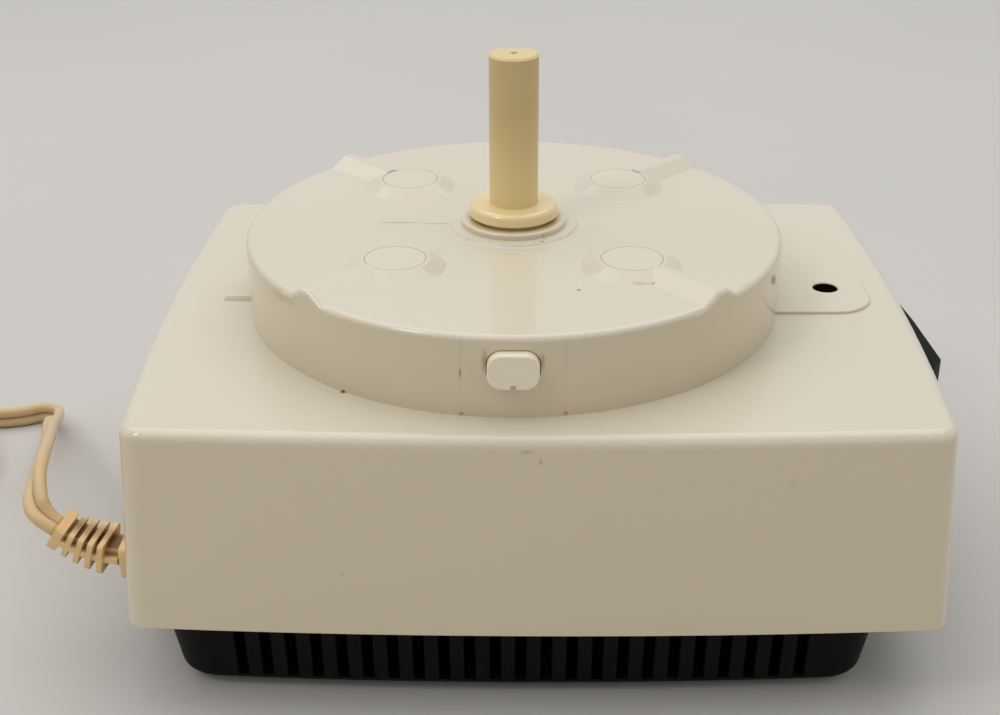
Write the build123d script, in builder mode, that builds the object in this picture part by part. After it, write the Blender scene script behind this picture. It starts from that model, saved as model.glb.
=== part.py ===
"""Motor base of a food processor.

A drafted, slightly bowed plastic body carries a round bowl seat with a drive spindle in its middle. An
induction motor hangs from the bowl seat on four long screws, and a slotted pan closes the body below.

Frame: millimetres, +Z up, the floor at Z = 0, -Y towards the user. The origin is the middle of the
footprint of everything but the mains cord. The rocker switch is on +X and the cord leaves at -X.
"""

import os
from math import atan2, cos, degrees, hypot, pi, radians, sin, sqrt, tan

from build123d import *

os.makedirs("parts", exist_ok=True)

# ------------------------------------------------------------------ shared fits
FIT = 0.05            # radial running or seating clearance of a turned pair
GAP = 0.3             # clearance of loose moulded pieces that must not touch

# ------------------------------------------------------------------ body moulding
BODY_WIDTH = 247.2    # across the bowed sides, at the top plane
BODY_DEPTH = 193.4    # across the bowed front and back, at the top plane
BODY_HEIGHT = 65.0    # skirt edge to top plane
SIDE_BOW = 4.0        # how far each side stands out at its middle
END_BOW = 3.8         # the same for the front and the back
BODY_CORNER_R = 7.0
TOP_EDGE_R = 3.5
DRAFT_DEG = 3.15
WALL = 2.8

# ------------------------------------------------------------------ base pan and feet
FOOT_HEIGHT = 3.0
FOOT_R = 9.0
FOOT_PEG_R = 2.5
FOOT_SPACING = (140.0, 144.0)
PAN_WIDTH = 222.0     # at the pan's underside
PAN_DEPTH = 178.8
PAN_OFFSET = -4.6     # the pan sits this far off the middle of the body
PAN_CORNER_R = 14.0
PAN_EDGE_R = 3.0
PAN_TAPER_DEG = 8.0
PAN_WALL = 2.5
PAN_HEIGHT = 31.0     # underside to the top of its flange
SKIRT_DROP = 4.0      # how far the body's skirt hangs below the top of the pan's flange
SLOT_COUNT = 23
SLOT_PITCH = 7.86
SLOT_WIDTH = 3.55
SLOT_SILL = 2.6       # solid edge left under each slot

# ------------------------------------------------------------------ bowl seat
SEAT_OFFSET = (-7.0, 4.3)   # spindle axis from the middle of the body
SEAT_R = 88.2
SEAT_HEIGHT = 25.6
SEAT_EDGE_R = 2.0
BOSS_CIRCLE_R = 52.0        # the four plugged screw bosses
BOSS_TOP_R = 11.0
BOSS_BASE_R = 15.8
BOSS_RISE = 2.7
RIDGE_RISE = 3.1
RIDGE_OVERLAP = 1.0         # how far a ridge runs into the flat round its plug
RIDGE_CREST = 3.4           # width of a ridge's flat crest
RIDGE_FOOT = 14.6           # width of a ridge at its foot
COLLAR_R = 17.4
COLLAR_BORE_R = 13.2
COLLAR_RISE = 2.6
COLLAR_STEP_R = 21.4
COLLAR_STEP_RISE = 0.6

# ------------------------------------------------------------------ screws
MOTOR_SCREW_R = 2.5
MOTOR_SCREW_HEAD = (4.6, 4.0)     # radius, height
BASE_SCREW_R = 1.9
BASE_SCREW_HEAD = (3.6, 2.4)
BASE_SCREW_LENGTH = 14.0
SCREW_SLOT = 0.9
POST_R = 4.5
POST_SPACING = (184.0, 120.0)
PLUG_R = 9.5
PLUG_THICKNESS = 1.8
HEAD_WELL_R = 7.0
BOSS_FLOOR = 4.0                  # plastic under a motor screw's head

# ------------------------------------------------------------------ spindle sleeve
SLEEVE_R = 8.0
SLEEVE_FLAT = 6.0           # axis to the flat of the D
SLEEVE_HEIGHT = 57.5        # bowl seat to spindle tip
FLANGE_R = 14.6
FLANGE_LIFT = 4.0           # bowl seat to the underside of the flange
FLANGE_THICKNESS = 3.8
SLEEVE_HUB_R = 12.4
SLEEVE_HUB_DROP = 3.0
SLEEVE_TIP_WALL = 13.0
SLEEVE_EDGE = 0.6

# ------------------------------------------------------------------ motor
MOTOR_HANG = 12.6           # bowl seat to the motor's mounting face
SHAFT_R = 5.0
SHAFT_FOOT = 9.0            # floor to the shaft's lower end
STATOR_R = 50.0
STATOR_BORE_R = 27.0
STACK_HEIGHT = 36.0
ROTOR_RING = 6.0            # end rings beyond the rotor's laminations
AIR_GAP = 0.5
STATOR_SLOTS = 24
STATOR_SLOT = (12.0, 4.4)   # radial length, width
SLOT_MOUTH = 1.8
SLOT_LIP = 3.0
COIL_OVERHANG = 12.0
BRACKET_PLATE = 4.0
BRACKET_RING = 6.0
BRACKET_DEPTH = 16.0        # lamination face to the plate
EAR_R = 8.0
EAR_THICKNESS = 8.0
BEARING_R = 11.0
BEARING_HEIGHT = 9.0
BEARING_HOUSING_WALL = 3.0
BEARING_FLOOR = 2.0
BOLT_CIRCLE_R = 46.5
BOLT_R = 2.0
BOLT_HEAD = (3.8, 3.0)
VENT_CIRCLE_R = 32.0
VENT_R = 7.0
VENT_COUNT = 6
FAN_R = 42.0
FAN_DISC = 1.6
FAN_BLADE_HEIGHT = 9.0
FAN_BLADE_COUNT = 12
FAN_HUB_R = 9.0
SEAL_R = 11.0
SEAL_HEIGHT = 5.0

# ------------------------------------------------------------------ capacitor
CAN_R = 15.0
CAN_LENGTH = 60.0
CAN_OFFSET = (73.0, -20.0)  # middle of the can from the middle of the pan
STRAP_WIDTH = 12.0
STRAP_THICKNESS = 1.2
STRAP_FOOT = 11.0
STRAP_SCREW_R = 1.8

# ------------------------------------------------------------------ bowl latch
LATCH_SIZE = (15.1, 10.9)   # width, height
LATCH_CORNER_R = 4.3
LATCH_PROUD = 3.2           # also its travel
LATCH_LIFT = 15.8           # top plane to the middle of the button
LATCH_LIP = 1.0
LATCH_LIP_THICKNESS = 1.5
LATCH_STEM_R = 2.4
LATCH_NOTCH = (1.6, 1.5)
LATCH_GUIDE_DEPTH = 17.0
LATCH_GUIDE_WALL = 2.4
SPRING_WIRE_R = 0.4

# ------------------------------------------------------------------ bowl interlock
HOLE_OFFSET = (106.5, 3.7)  # from the spindle axis
HOLE_R = 4.1
HOLE_EDGE_R = 1.0
PAD_RISE = 1.0
PAD_HALF_DEPTH = 20.2
PAD_REACH = 13.5            # hole to the pad's outer end
PAD_CORNER_R = 13.0
PLUNGER_R = 5.0
PLUNGER_HEAD = 6.0
PLUNGER_STEM_R = 2.5
GUIDE_WALL = 2.3
GUIDE_DEPTH = 18.0
GUIDE_FLOOR = 2.5
NUB_SIZE = (8.5, 10.7, 1.5)
MICROSWITCH_SIZE = (20.0, 6.4, 10.0)
MICROSWITCH_PEG_R = 1.4
LEVER_ARM = 14.0
LEVER_THICKNESS = 0.8
LEVER_WIDTH = 4.0
LEVER_PIN_R = 1.0
LEVER_RISE = 4.0            # microswitch top to the lever's pivot
MICROSWITCH_DROP = 32.2     # wall above to the top of the microswitch
MICROSWITCH_BUTTON = 2.0
SWITCH_PLATE = 2.5

# ------------------------------------------------------------------ rocker switch
SWITCH_HEIGHT = 75.0        # floor to the middle of the rocker
ROCKER_HALF_LENGTH = 37.2
ROCKER_HALF_HEIGHT = 12.0
ROCKER_PROUD = 5.9
ROCKER_END_PROUD = 2.7
ROCKER_TAIL_PROUD = 1.3
ROCKER_TIP = 29.7           # pivot to the tip of the raised end
ROCKER_BOSS_R = 4.0
ROCKER_PIN_R = 2.0
ROCKER_PIVOT_DEPTH = 3.6    # wall face to the pivot axis
ROCKER_BACK = 2.0           # pivot to the rocker's back face
ROCKER_EDGE_R = 1.0
ROCKER_END_GAP = 1.4
ROCKER_SIDE_GAP = 0.4
SWITCH_WALL = 1.5
SWITCH_DEPTH = 12.0
SWITCH_LIP = 2.4
TERMINAL_SIZE = (6.0, 0.8, 6.3)
TERMINAL_PITCH = 10.0

# ------------------------------------------------------------------ mains cord
CORD_WIDTH = 8.4            # flat twin cord, two cores side by side
CORD_THICKNESS = 4.2
RELIEF_Y = -71.7
RELIEF_HEIGHT = 41.1        # floor to the middle of the outlet
RELIEF_BLOCK = (16.4, 11.0) # width, height
RELIEF_PROUD = 3.8
RELIEF_NECK = (12.6, 7.6)
RELIEF_INNER_LIP = 2.4
RELIEF_BEND_R = 36.0
RELIEF_RISE_DEG = 32.0
RELIEF_YAW_DEG = 8.0
RELIEF_FINS = 4
RELIEF_CORE = (9.0, 5.2)
RELIEF_WEB = (13.6, 1.9)     # flat web that ties the fins on both sides of the core
RELIEF_EDGE_R = 1.5
RELIEF_FIRST_FIN = 5.45    # along the bend, from the block's face
FIN_PITCH = 3.7
FIN_THICKNESS = 1.7
RELIEF_END = 2.2            # length of the closing block
RELIEF_END_SCALE = 0.78
LEAD_R = 2.2
LEAD_BEND_R = 6.0
LEAD_TURN_X = 94.0
COIL_R = 50.2         # outermost turn of the put-away coil
COIL_TURNS = 3        # half of them on the floor, spiralling in, and half on top, spiralling out
COIL_LEAD = 31.0      # straight end of the coil where the loose cord joins it
PLUG_LEAD = 42.0      # straight end of the coil that runs down to the plug
PLUG_BODY = (30.0, 24.0, 15.0)   # length, width, height
PLUG_EDGE_R = 4.0
BLADE_SIZE = (17.0, 1.5, 6.3)
BLADE_SPACING = 12.7

# ------------------------------------------------------------------ worked-out places
PAN_BOTTOM = FOOT_HEIGHT
PAN_FLOOR = PAN_BOTTOM + PAN_WALL
FLANGE_TOP = PAN_BOTTOM + PAN_HEIGHT
FLANGE_UNDER = FLANGE_TOP - PAN_WALL
SKIRT_EDGE = FLANGE_TOP - SKIRT_DROP
BODY_TOP = SKIRT_EDGE + BODY_HEIGHT
SEAT_TOP = BODY_TOP + SEAT_HEIGHT
SLEEVE_TOP = SEAT_TOP + SLEEVE_HEIGHT
BOSS_TOP = SEAT_TOP + BOSS_RISE
POST_FOOT = PAN_FLOOR + BASE_SCREW_HEAD[1] + PAN_WALL
MOTOR_FACE = SEAT_TOP - MOTOR_HANG
SCREW_SEAT = MOTOR_FACE + BOSS_FLOOR
STACK_TOP = MOTOR_FACE - BRACKET_PLATE - BRACKET_DEPTH
STACK_FOOT = STACK_TOP - STACK_HEIGHT
MOTOR_UNDER = STACK_FOOT - BRACKET_DEPTH - BRACKET_PLATE
SHAFT_TOP = SLEEVE_TOP - SLEEVE_TIP_WALL
SLOT_MIDDLE_R = STATOR_BORE_R + SLOT_LIP + STATOR_SLOT[0] / 2


def flare(height):
    """How far the draft has moved a side outwards at this height."""
    return tan(radians(DRAFT_DEG)) * (BODY_TOP - height)


ROCKER_REACH = ROCKER_PROUD + flare(SWITCH_HEIGHT) - flare(SKIRT_EDGE)
BODY_X = -ROCKER_REACH / 2
SPIN_X = BODY_X + SEAT_OFFSET[0]
SPIN_Y = SEAT_OFFSET[1]
PAN_X = BODY_X + PAN_OFFSET
BODY = Plane((BODY_X, 0, 0))
PAN = Plane((PAN_X, 0, 0))
SPIN = Plane((SPIN_X, SPIN_Y, 0))
DIAGONALS = (45, 135, 225, 315)
HOLE_X = SPIN_X + HOLE_OFFSET[0]
HOLE_Y = SPIN_Y + HOLE_OFFSET[1]
HOLE = Plane((HOLE_X, HOLE_Y, 0))
LATCH_FACE = Plane(
    (SPIN_X, SPIN_Y - SEAT_R - LATCH_PROUD, BODY_TOP + LATCH_LIFT), x_dir=(1, 0, 0), z_dir=(0, -1, 0)
)
WALL_X = BODY_X + BODY_WIDTH / 2 + flare(SWITCH_HEIGHT)
SWITCH_FACE = Plane((WALL_X, 0, SWITCH_HEIGHT), x_dir=(0, 1, 0), z_dir=(1, 0, 0))
SWITCH_WELL = (
    2 * (ROCKER_HALF_LENGTH + ROCKER_END_GAP + SWITCH_WALL),
    2 * (ROCKER_HALF_HEIGHT + ROCKER_SIDE_GAP + SWITCH_WALL),
)
ROCKER_PIVOT = Plane((WALL_X - ROCKER_PIVOT_DEPTH, 0, SWITCH_HEIGHT))
RELIEF_SAG = SIDE_BOW * (RELIEF_Y / (BODY_DEPTH / 2 - END_BOW)) ** 2
RELIEF_X = BODY_X - BODY_WIDTH / 2 - flare(RELIEF_HEIGHT) + RELIEF_SAG
RELIEF_FACE = Plane((RELIEF_X, RELIEF_Y, RELIEF_HEIGHT), x_dir=(0, -1, 0), z_dir=(-1, 0, 0))
CAN_X = PAN_X + CAN_OFFSET[0]
CAN_Y = CAN_OFFSET[1]
CAN_FACE = Plane(
    (CAN_X, CAN_Y - CAN_LENGTH / 2, PAN_FLOOR + GAP + CAN_R), x_dir=(1, 0, 0), z_dir=(0, -1, 0)
)
STRAP_SCREWS = Plane((CAN_X, CAN_Y, PAN_FLOOR))
STRAP_SCREW_PITCH = 2 * (CAN_R + GAP + STRAP_THICKNESS + STRAP_FOOT / 2)


def bowed_outline(width, depth, side_bow, end_bow, corner):
    """Rounded rectangle whose four sides are shallow arcs."""
    x, y = width / 2 - side_bow, depth / 2 - end_bow
    with BuildSketch() as outline:
        with BuildLine():
            ThreePointArc((-x, -y), (0, -depth / 2), (x, -y))
            ThreePointArc((x, -y), (width / 2, 0), (x, y))
            ThreePointArc((x, y), (0, depth / 2), (-x, y))
            ThreePointArc((-x, y), (-width / 2, 0), (-x, -y))
        make_face()
        fillet(outline.vertices(), corner)
    return outline.sketch


def body_outline(height, inset):
    """The body's outline at a height, brought in by a wall or a clearance."""
    grow = 2 * (flare(height) - inset)
    return bowed_outline(
        BODY_WIDTH + grow, BODY_DEPTH + grow, SIDE_BOW, END_BOW, BODY_CORNER_R - min(inset, WALL)
    )


def pan_outline(height, inset):
    """The pan's tapered outline at a height."""
    grow = 2 * (tan(radians(PAN_TAPER_DEG)) * (height - PAN_BOTTOM) - inset)
    return bowed_outline(
        PAN_WIDTH + grow, PAN_DEPTH + grow, SIDE_BOW, END_BOW, PAN_CORNER_R - inset
    )


# ================================================================== body and pan
with BuildPart() as body_envelope:
    for level in (SKIRT_EDGE, BODY_TOP):
        with BuildSketch(BODY.offset(level)):
            add(body_outline(level, 0))
    loft(ruled=True)
    fillet(body_envelope.edges().group_by(Axis.Z)[-1], TOP_EDGE_R)

with BuildPart() as body_cavity:
    for level in (SKIRT_EDGE, BODY_TOP - WALL):
        with BuildSketch(BODY.offset(level)):
            add(body_outline(level, WALL))
    loft(ruled=True)

with BuildPart() as seat_form:
    with BuildSketch(SPIN.offset(BODY_TOP - WALL)):
        Circle(SEAT_R)
    extrude(amount=WALL + SEAT_HEIGHT)
    for angle in DIAGONALS:
        radial = Vector(cos(radians(angle)), sin(radians(angle)), 0)
        across = Vector(-radial.Y, radial.X, 0)
        axis_plane = Plane((SPIN_X, SPIN_Y, SEAT_TOP), x_dir=across, z_dir=radial)
        with BuildSketch(axis_plane.offset(BOSS_CIRCLE_R + BOSS_TOP_R - RIDGE_OVERLAP)):
            Polygon(
                (-RIDGE_FOOT / 2, 0), (RIDGE_FOOT / 2, 0),
                (RIDGE_CREST / 2, RIDGE_RISE), (-RIDGE_CREST / 2, RIDGE_RISE), align=None,
            )
        extrude(amount=SEAT_R)
    with BuildSketch(SPIN.offset(BODY_TOP - WALL)):
        Circle(SEAT_R)
    extrude(amount=WALL + SEAT_HEIGHT + RIDGE_RISE, mode=Mode.INTERSECT)
    rim = seat_form.edges().filter_by(
        lambda e: all(
            abs(hypot(v.X - SPIN_X, v.Y - SPIN_Y) - SEAT_R) < 0.01 and v.Z > SEAT_TOP - 0.01
            for v in e.vertices()
        )
    )
    fillet(rim, SEAT_EDGE_R)

with BuildPart() as hole_pad:
    with BuildSketch(Plane((SPIN_X, HOLE_Y, BODY_TOP - WALL))):
        pad_length = HOLE_OFFSET[0] + PAD_REACH
        with Locations((pad_length / 2, 0)):
            Rectangle(pad_length, 2 * PAD_HALF_DEPTH)
    extrude(amount=WALL + PAD_RISE)
    fillet(hole_pad.edges().filter_by(Axis.Z).group_by(Axis.X)[-1], PAD_CORNER_R)
    pad_rim = hole_pad.edges().group_by(Axis.Z)[-1].sort_by(Axis.X)[1:]
    fillet(pad_rim, PAD_RISE * 0.6)

with BuildPart() as top_housing:
    add(body_envelope.part)
    add(seat_form.part)
    add(hole_pad.part)
    # locating nub beside the bowl seat
    nub_length = SEAT_R + NUB_SIZE[0]
    with BuildSketch(Plane((SPIN_X, SPIN_Y, BODY_TOP - WALL))):
        with Locations((-nub_length / 2, 0)):
            Rectangle(nub_length, NUB_SIZE[1])
    extrude(amount=WALL + NUB_SIZE[2])
    # hollow inside
    add(body_cavity.part, mode=Mode.SUBTRACT)
    with BuildSketch(SPIN.offset(BODY_TOP - 2 * WALL)):
        Circle(SEAT_R - WALL)
    extrude(amount=SEAT_HEIGHT + WALL, mode=Mode.SUBTRACT)
    # raised cones round the plugged screw holes, and the tubes that the motor hangs from
    with BuildSketch(SPIN.offset(SEAT_TOP)):
        with PolarLocations(BOSS_CIRCLE_R, 4, start_angle=DIAGONALS[0]):
            Circle(BOSS_BASE_R)
    extrude(
        amount=BOSS_RISE, taper=degrees(atan2(BOSS_BASE_R - BOSS_TOP_R, BOSS_RISE))
    )
    with BuildSketch(SPIN.offset(SEAT_TOP - MOTOR_HANG)):
        with PolarLocations(BOSS_CIRCLE_R, 4, start_angle=DIAGONALS[0]):
            Circle(BOSS_TOP_R)
    extrude(amount=MOTOR_HANG)
    # spindle collar: a low step, a rounded bead and a deep seal housing below
    with BuildSketch(SPIN.offset(SEAT_TOP)):
        Circle(COLLAR_STEP_R)
    extrude(amount=COLLAR_STEP_RISE, taper=45)
    with BuildSketch(SPIN.offset(SEAT_TOP - SEAL_HEIGHT - 2 * WALL)):
        Circle(COLLAR_R)
    extrude(amount=SEAL_HEIGHT + 2 * WALL + COLLAR_RISE)
    # corner posts for the pan's screws
    with BuildSketch(PAN.offset(POST_FOOT)):
        with GridLocations(*POST_SPACING, 2, 2):
            Circle(POST_R)
    extrude(amount=BODY_TOP - WALL - POST_FOOT)
    bead = top_housing.edges().filter_by(GeomType.CIRCLE).filter_by(
        lambda e: abs(e.radius - COLLAR_R) < FIT and e.center().Z > SEAT_TOP + COLLAR_RISE - FIT
    )
    fillet(bead, COLLAR_RISE / 3)
    with BuildSketch(SPIN.offset(SEAT_TOP + COLLAR_RISE)):
        Circle(COLLAR_BORE_R)
    extrude(amount=-(COLLAR_RISE + WALL), mode=Mode.SUBTRACT)
    with BuildSketch(SPIN.offset(SEAT_TOP - WALL)):
        Circle(SEAL_R + FIT)
    extrude(amount=-SEAL_HEIGHT, mode=Mode.SUBTRACT)
    with BuildSketch(SPIN.offset(SEAT_TOP - WALL - SEAL_HEIGHT)):
        Circle(SHAFT_R + 1)
    extrude(amount=-2 * WALL, mode=Mode.SUBTRACT)
    # screw holes: plug recess, well for the head, clearance hole
    for radius, top, depth in (
        (PLUG_R + FIT, BOSS_TOP, PLUG_THICKNESS),
        (HEAD_WELL_R, BOSS_TOP - PLUG_THICKNESS, BOSS_TOP - PLUG_THICKNESS - SCREW_SEAT),
        (MOTOR_SCREW_R + FIT, SCREW_SEAT, BOSS_FLOOR),
    ):
        with BuildSketch(SPIN.offset(top)):
            with PolarLocations(BOSS_CIRCLE_R, 4, start_angle=DIAGONALS[0]):
                Circle(radius)
        extrude(amount=-depth, mode=Mode.SUBTRACT)
    with BuildSketch(PAN.offset(POST_FOOT)):
        with GridLocations(*POST_SPACING, 2, 2):
            Circle(BASE_SCREW_R + FIT)
    extrude(amount=BASE_SCREW_LENGTH + 1, mode=Mode.SUBTRACT)
    # interlock hole with its rounded mouth
    with BuildSketch(Plane((HOLE_X, HOLE_Y, BODY_TOP + PAD_RISE))):
        Circle(HOLE_R)
    extrude(amount=-(PAD_RISE + WALL), mode=Mode.SUBTRACT)
    mouth = top_housing.edges().filter_by(GeomType.CIRCLE).filter_by(
        lambda e: abs(e.radius - HOLE_R) < FIT and e.center().Z > BODY_TOP
    )
    fillet(mouth, HOLE_EDGE_R)
    # openings in the walls: latch button, rocker, cord outlet
    with BuildSketch(LATCH_FACE):
        RectangleRounded(LATCH_SIZE[0] + 2 * GAP, LATCH_SIZE[1] + 2 * GAP, LATCH_CORNER_R + GAP)
    extrude(amount=-4 * LATCH_PROUD, mode=Mode.SUBTRACT)
    with BuildSketch(SWITCH_FACE):
        Rectangle(SWITCH_WELL[0] + 2 * GAP, SWITCH_WELL[1] + 2 * GAP)
    extrude(amount=2 * WALL, both=True, mode=Mode.SUBTRACT)
    with BuildSketch(RELIEF_FACE):
        Rectangle(RELIEF_NECK[0] + 2 * FIT, RELIEF_NECK[1] + 2 * FIT)
    extrude(amount=2 * WALL, both=True, mode=Mode.SUBTRACT)
top_housing.part.label = "top_housing"
export_step(top_housing.part, "parts/top_housing.step")

with BuildPart() as pan_hollow:
    for level in (PAN_FLOOR, FLANGE_TOP):
        with BuildSketch(PAN.offset(level)):
            add(pan_outline(level, PAN_WALL))
    loft(ruled=True)

with BuildPart() as base_pan:
    for level in (PAN_BOTTOM, FLANGE_TOP):
        with BuildSketch(PAN.offset(level)):
            add(pan_outline(level, 0))
    loft(ruled=True)
    fillet(base_pan.edges().group_by(Axis.Z)[0], PAN_EDGE_R)
    with BuildSketch(BODY.offset(FLANGE_UNDER)):
        add(body_outline(FLANGE_UNDER, WALL + GAP))
    extrude(amount=PAN_WALL)
    add(pan_hollow.part, mode=Mode.SUBTRACT)
    # sleeves for the screws, standing on the pan's floor
    with BuildSketch(PAN.offset(PAN_BOTTOM)):
        with GridLocations(*POST_SPACING, 2, 2):
            Circle(BASE_SCREW_HEAD[0] + PAN_WALL)
    extrude(amount=POST_FOOT - PAN_BOTTOM)
    for radius, depth in ((BASE_SCREW_HEAD[0] + GAP, POST_FOOT - PAN_BOTTOM - PAN_WALL),
                          (BASE_SCREW_R + FIT, POST_FOOT - PAN_BOTTOM)):
        with BuildSketch(PAN.offset(PAN_BOTTOM)):
            with GridLocations(*POST_SPACING, 2, 2):
                Circle(radius)
        extrude(amount=depth, mode=Mode.SUBTRACT)
    with BuildSketch(PAN.offset(PAN_BOTTOM)):
        with GridLocations(*FOOT_SPACING, 2, 2):
            Circle(FOOT_PEG_R + FIT)
    extrude(amount=PAN_WALL, mode=Mode.SUBTRACT)
    with BuildSketch(STRAP_SCREWS):
        with GridLocations(STRAP_SCREW_PITCH, 1, 2, 1):
            Circle(STRAP_SCREW_R + FIT)
    extrude(amount=-PAN_WALL, mode=Mode.SUBTRACT)
    # cooling slots through the front and back walls
    slot_height = FLANGE_UNDER - PAN_FLOOR - SLOT_SILL
    slot_reach = PAN_EDGE_R + 3 * PAN_WALL
    for side in (-1, 1):
        slot_middle = Plane((PAN_X, side * PAN_DEPTH / 2, PAN_BOTTOM + SLOT_SILL + slot_height / 2))
        with BuildSketch(slot_middle):
            with GridLocations(SLOT_PITCH, 1, SLOT_COUNT, 1):
                Rectangle(SLOT_WIDTH, 2 * slot_reach)
        extrude(amount=slot_height / 2, both=True, mode=Mode.SUBTRACT)
base_pan.part.label = "base_pan"
export_step(base_pan.part, "parts/base_pan.step")

with BuildPart() as rubber_feet:
    with BuildSketch(PAN):
        with GridLocations(*FOOT_SPACING, 2, 2):
            Circle(FOOT_R)
    extrude(amount=FOOT_HEIGHT)
    fillet(rubber_feet.edges().group_by(Axis.Z)[0], FOOT_HEIGHT / 3)
    with BuildSketch(PAN.offset(FOOT_HEIGHT)):
        with GridLocations(*FOOT_SPACING, 2, 2):
            Circle(FOOT_PEG_R)
    extrude(amount=PAN_WALL)
rubber_feet.part.label = "rubber_feet"
export_step(rubber_feet.part, "parts/rubber_feet.step")

with BuildPart() as base_screws:
    head_base = POST_FOOT - PAN_WALL - BASE_SCREW_HEAD[1]
    with BuildSketch(PAN.offset(head_base)):
        with GridLocations(*POST_SPACING, 2, 2):
            Circle(BASE_SCREW_HEAD[0])
    extrude(amount=BASE_SCREW_HEAD[1])
    with BuildSketch(PAN.offset(head_base + BASE_SCREW_HEAD[1])):
        with GridLocations(*POST_SPACING, 2, 2):
            Circle(BASE_SCREW_R)
    extrude(amount=BASE_SCREW_LENGTH)
    with BuildSketch(PAN.offset(head_base)):
        with GridLocations(*POST_SPACING, 2, 2):
            Rectangle(1.5 * BASE_SCREW_HEAD[0], SCREW_SLOT)
            Rectangle(SCREW_SLOT, 1.5 * BASE_SCREW_HEAD[0])
    extrude(amount=BASE_SCREW_HEAD[1] / 2, mode=Mode.SUBTRACT)
base_screws.part.label = "base_screws"
export_step(base_screws.part, "parts/base_screws.step")

# ================================================================== bowl seat fittings
with BuildPart() as screw_plugs:
    with BuildSketch(SPIN.offset(BOSS_TOP)):
        with PolarLocations(BOSS_CIRCLE_R, 4, start_angle=DIAGONALS[0]):
            Circle(PLUG_R)
    extrude(amount=-PLUG_THICKNESS)
    with BuildSketch(SPIN.offset(BOSS_TOP - PLUG_THICKNESS)):
        with PolarLocations(BOSS_CIRCLE_R, 4, start_angle=DIAGONALS[0]):
            Circle(HEAD_WELL_R - FIT)
            Circle(HEAD_WELL_R - WALL / 2, mode=Mode.SUBTRACT)
    extrude(amount=-WALL)
screw_plugs.part.label = "screw_plugs"
export_step(screw_plugs.part, "parts/screw_plugs.step")

with BuildPart() as motor_screws:
    for radius, top, depth in (
        (MOTOR_SCREW_HEAD[0], SCREW_SEAT + MOTOR_SCREW_HEAD[1], MOTOR_SCREW_HEAD[1]),
        (MOTOR_SCREW_R, SCREW_SEAT, BOSS_FLOOR + EAR_THICKNESS),
    ):
        with BuildSketch(SPIN.offset(top)):
            with PolarLocations(BOSS_CIRCLE_R, 4, start_angle=DIAGONALS[0]):
                Circle(radius)
        extrude(amount=-depth)
    with BuildSketch(SPIN.offset(SCREW_SEAT + MOTOR_SCREW_HEAD[1])):
        with PolarLocations(BOSS_CIRCLE_R, 4, start_angle=DIAGONALS[0]):
            Rectangle(2 * MOTOR_SCREW_HEAD[0], SCREW_SLOT)
    extrude(amount=-MOTOR_SCREW_HEAD[1] / 2, mode=Mode.SUBTRACT)
motor_screws.part.label = "motor_screws"
export_step(motor_screws.part, "parts/motor_screws.step")

with BuildPart() as spindle_sleeve:
    hub_foot = SEAT_TOP + FLANGE_LIFT - SLEEVE_HUB_DROP
    with BuildSketch(SPIN.offset(hub_foot)):
        Circle(SLEEVE_HUB_R)
    extrude(amount=SLEEVE_HUB_DROP + FLANGE_THICKNESS / 2)
    with BuildSketch(SPIN.offset(SEAT_TOP + FLANGE_LIFT)):
        Circle(FLANGE_R)
    extrude(amount=FLANGE_THICKNESS)
    flange_rims = spindle_sleeve.edges().filter_by(GeomType.CIRCLE).filter_by(
        lambda e: abs(e.radius - FLANGE_R) < FIT
    )
    fillet(flange_rims.sort_by(Axis.Z)[-1], FLANGE_THICKNESS / 2)
    with BuildSketch(SPIN.offset(SEAT_TOP + FLANGE_LIFT)):
        Circle(SLEEVE_R)
        with Locations((0, SLEEVE_FLAT + SLEEVE_R)):
            Rectangle(2 * SLEEVE_R, 2 * SLEEVE_R, mode=Mode.SUBTRACT)
    extrude(amount=SLEEVE_HEIGHT - FLANGE_LIFT)
    chamfer(spindle_sleeve.edges().group_by(Axis.Z)[-1], SLEEVE_EDGE)
    with BuildSketch(SPIN.offset(hub_foot)):
        Circle(SHAFT_R + FIT)
    extrude(amount=SHAFT_TOP - hub_foot + GAP, mode=Mode.SUBTRACT)
spindle_sleeve.part.label = "spindle_sleeve"
export_step(spindle_sleeve.part, "parts/spindle_sleeve.step")

with BuildPart() as shaft_seal:
    with BuildSketch(SPIN.offset(SEAT_TOP - WALL - SEAL_HEIGHT)):
        Circle(SEAL_R)
        Circle(SEAL_R - WALL / 2, mode=Mode.SUBTRACT)
    extrude(amount=SEAL_HEIGHT)
    with BuildSketch(SPIN.offset(SEAT_TOP - WALL - SEAL_HEIGHT)):
        Circle(SEAL_R)
        Circle(SHAFT_R + FIT, mode=Mode.SUBTRACT)
    extrude(amount=WALL / 2)
    with BuildSketch(SPIN.offset(SEAT_TOP - WALL - SEAL_HEIGHT)):
        Circle(SHAFT_R + FIT + WALL / 2)
        Circle(SHAFT_R + FIT, mode=Mode.SUBTRACT)
    extrude(amount=SEAL_HEIGHT - WALL / 2)
shaft_seal.part.label = "shaft_seal"
export_step(shaft_seal.part, "parts/shaft_seal.step")

# ================================================================== motor
with BuildPart() as motor_shaft:
    with BuildSketch(SPIN.offset(SHAFT_FOOT)):
        Circle(SHAFT_R)
    extrude(amount=SHAFT_TOP - SHAFT_FOOT)
    chamfer(motor_shaft.edges().filter_by(GeomType.CIRCLE), SHAFT_R / 8)
motor_shaft.part.label = "motor_shaft"
export_step(motor_shaft.part, "parts/motor_shaft.step")

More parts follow.
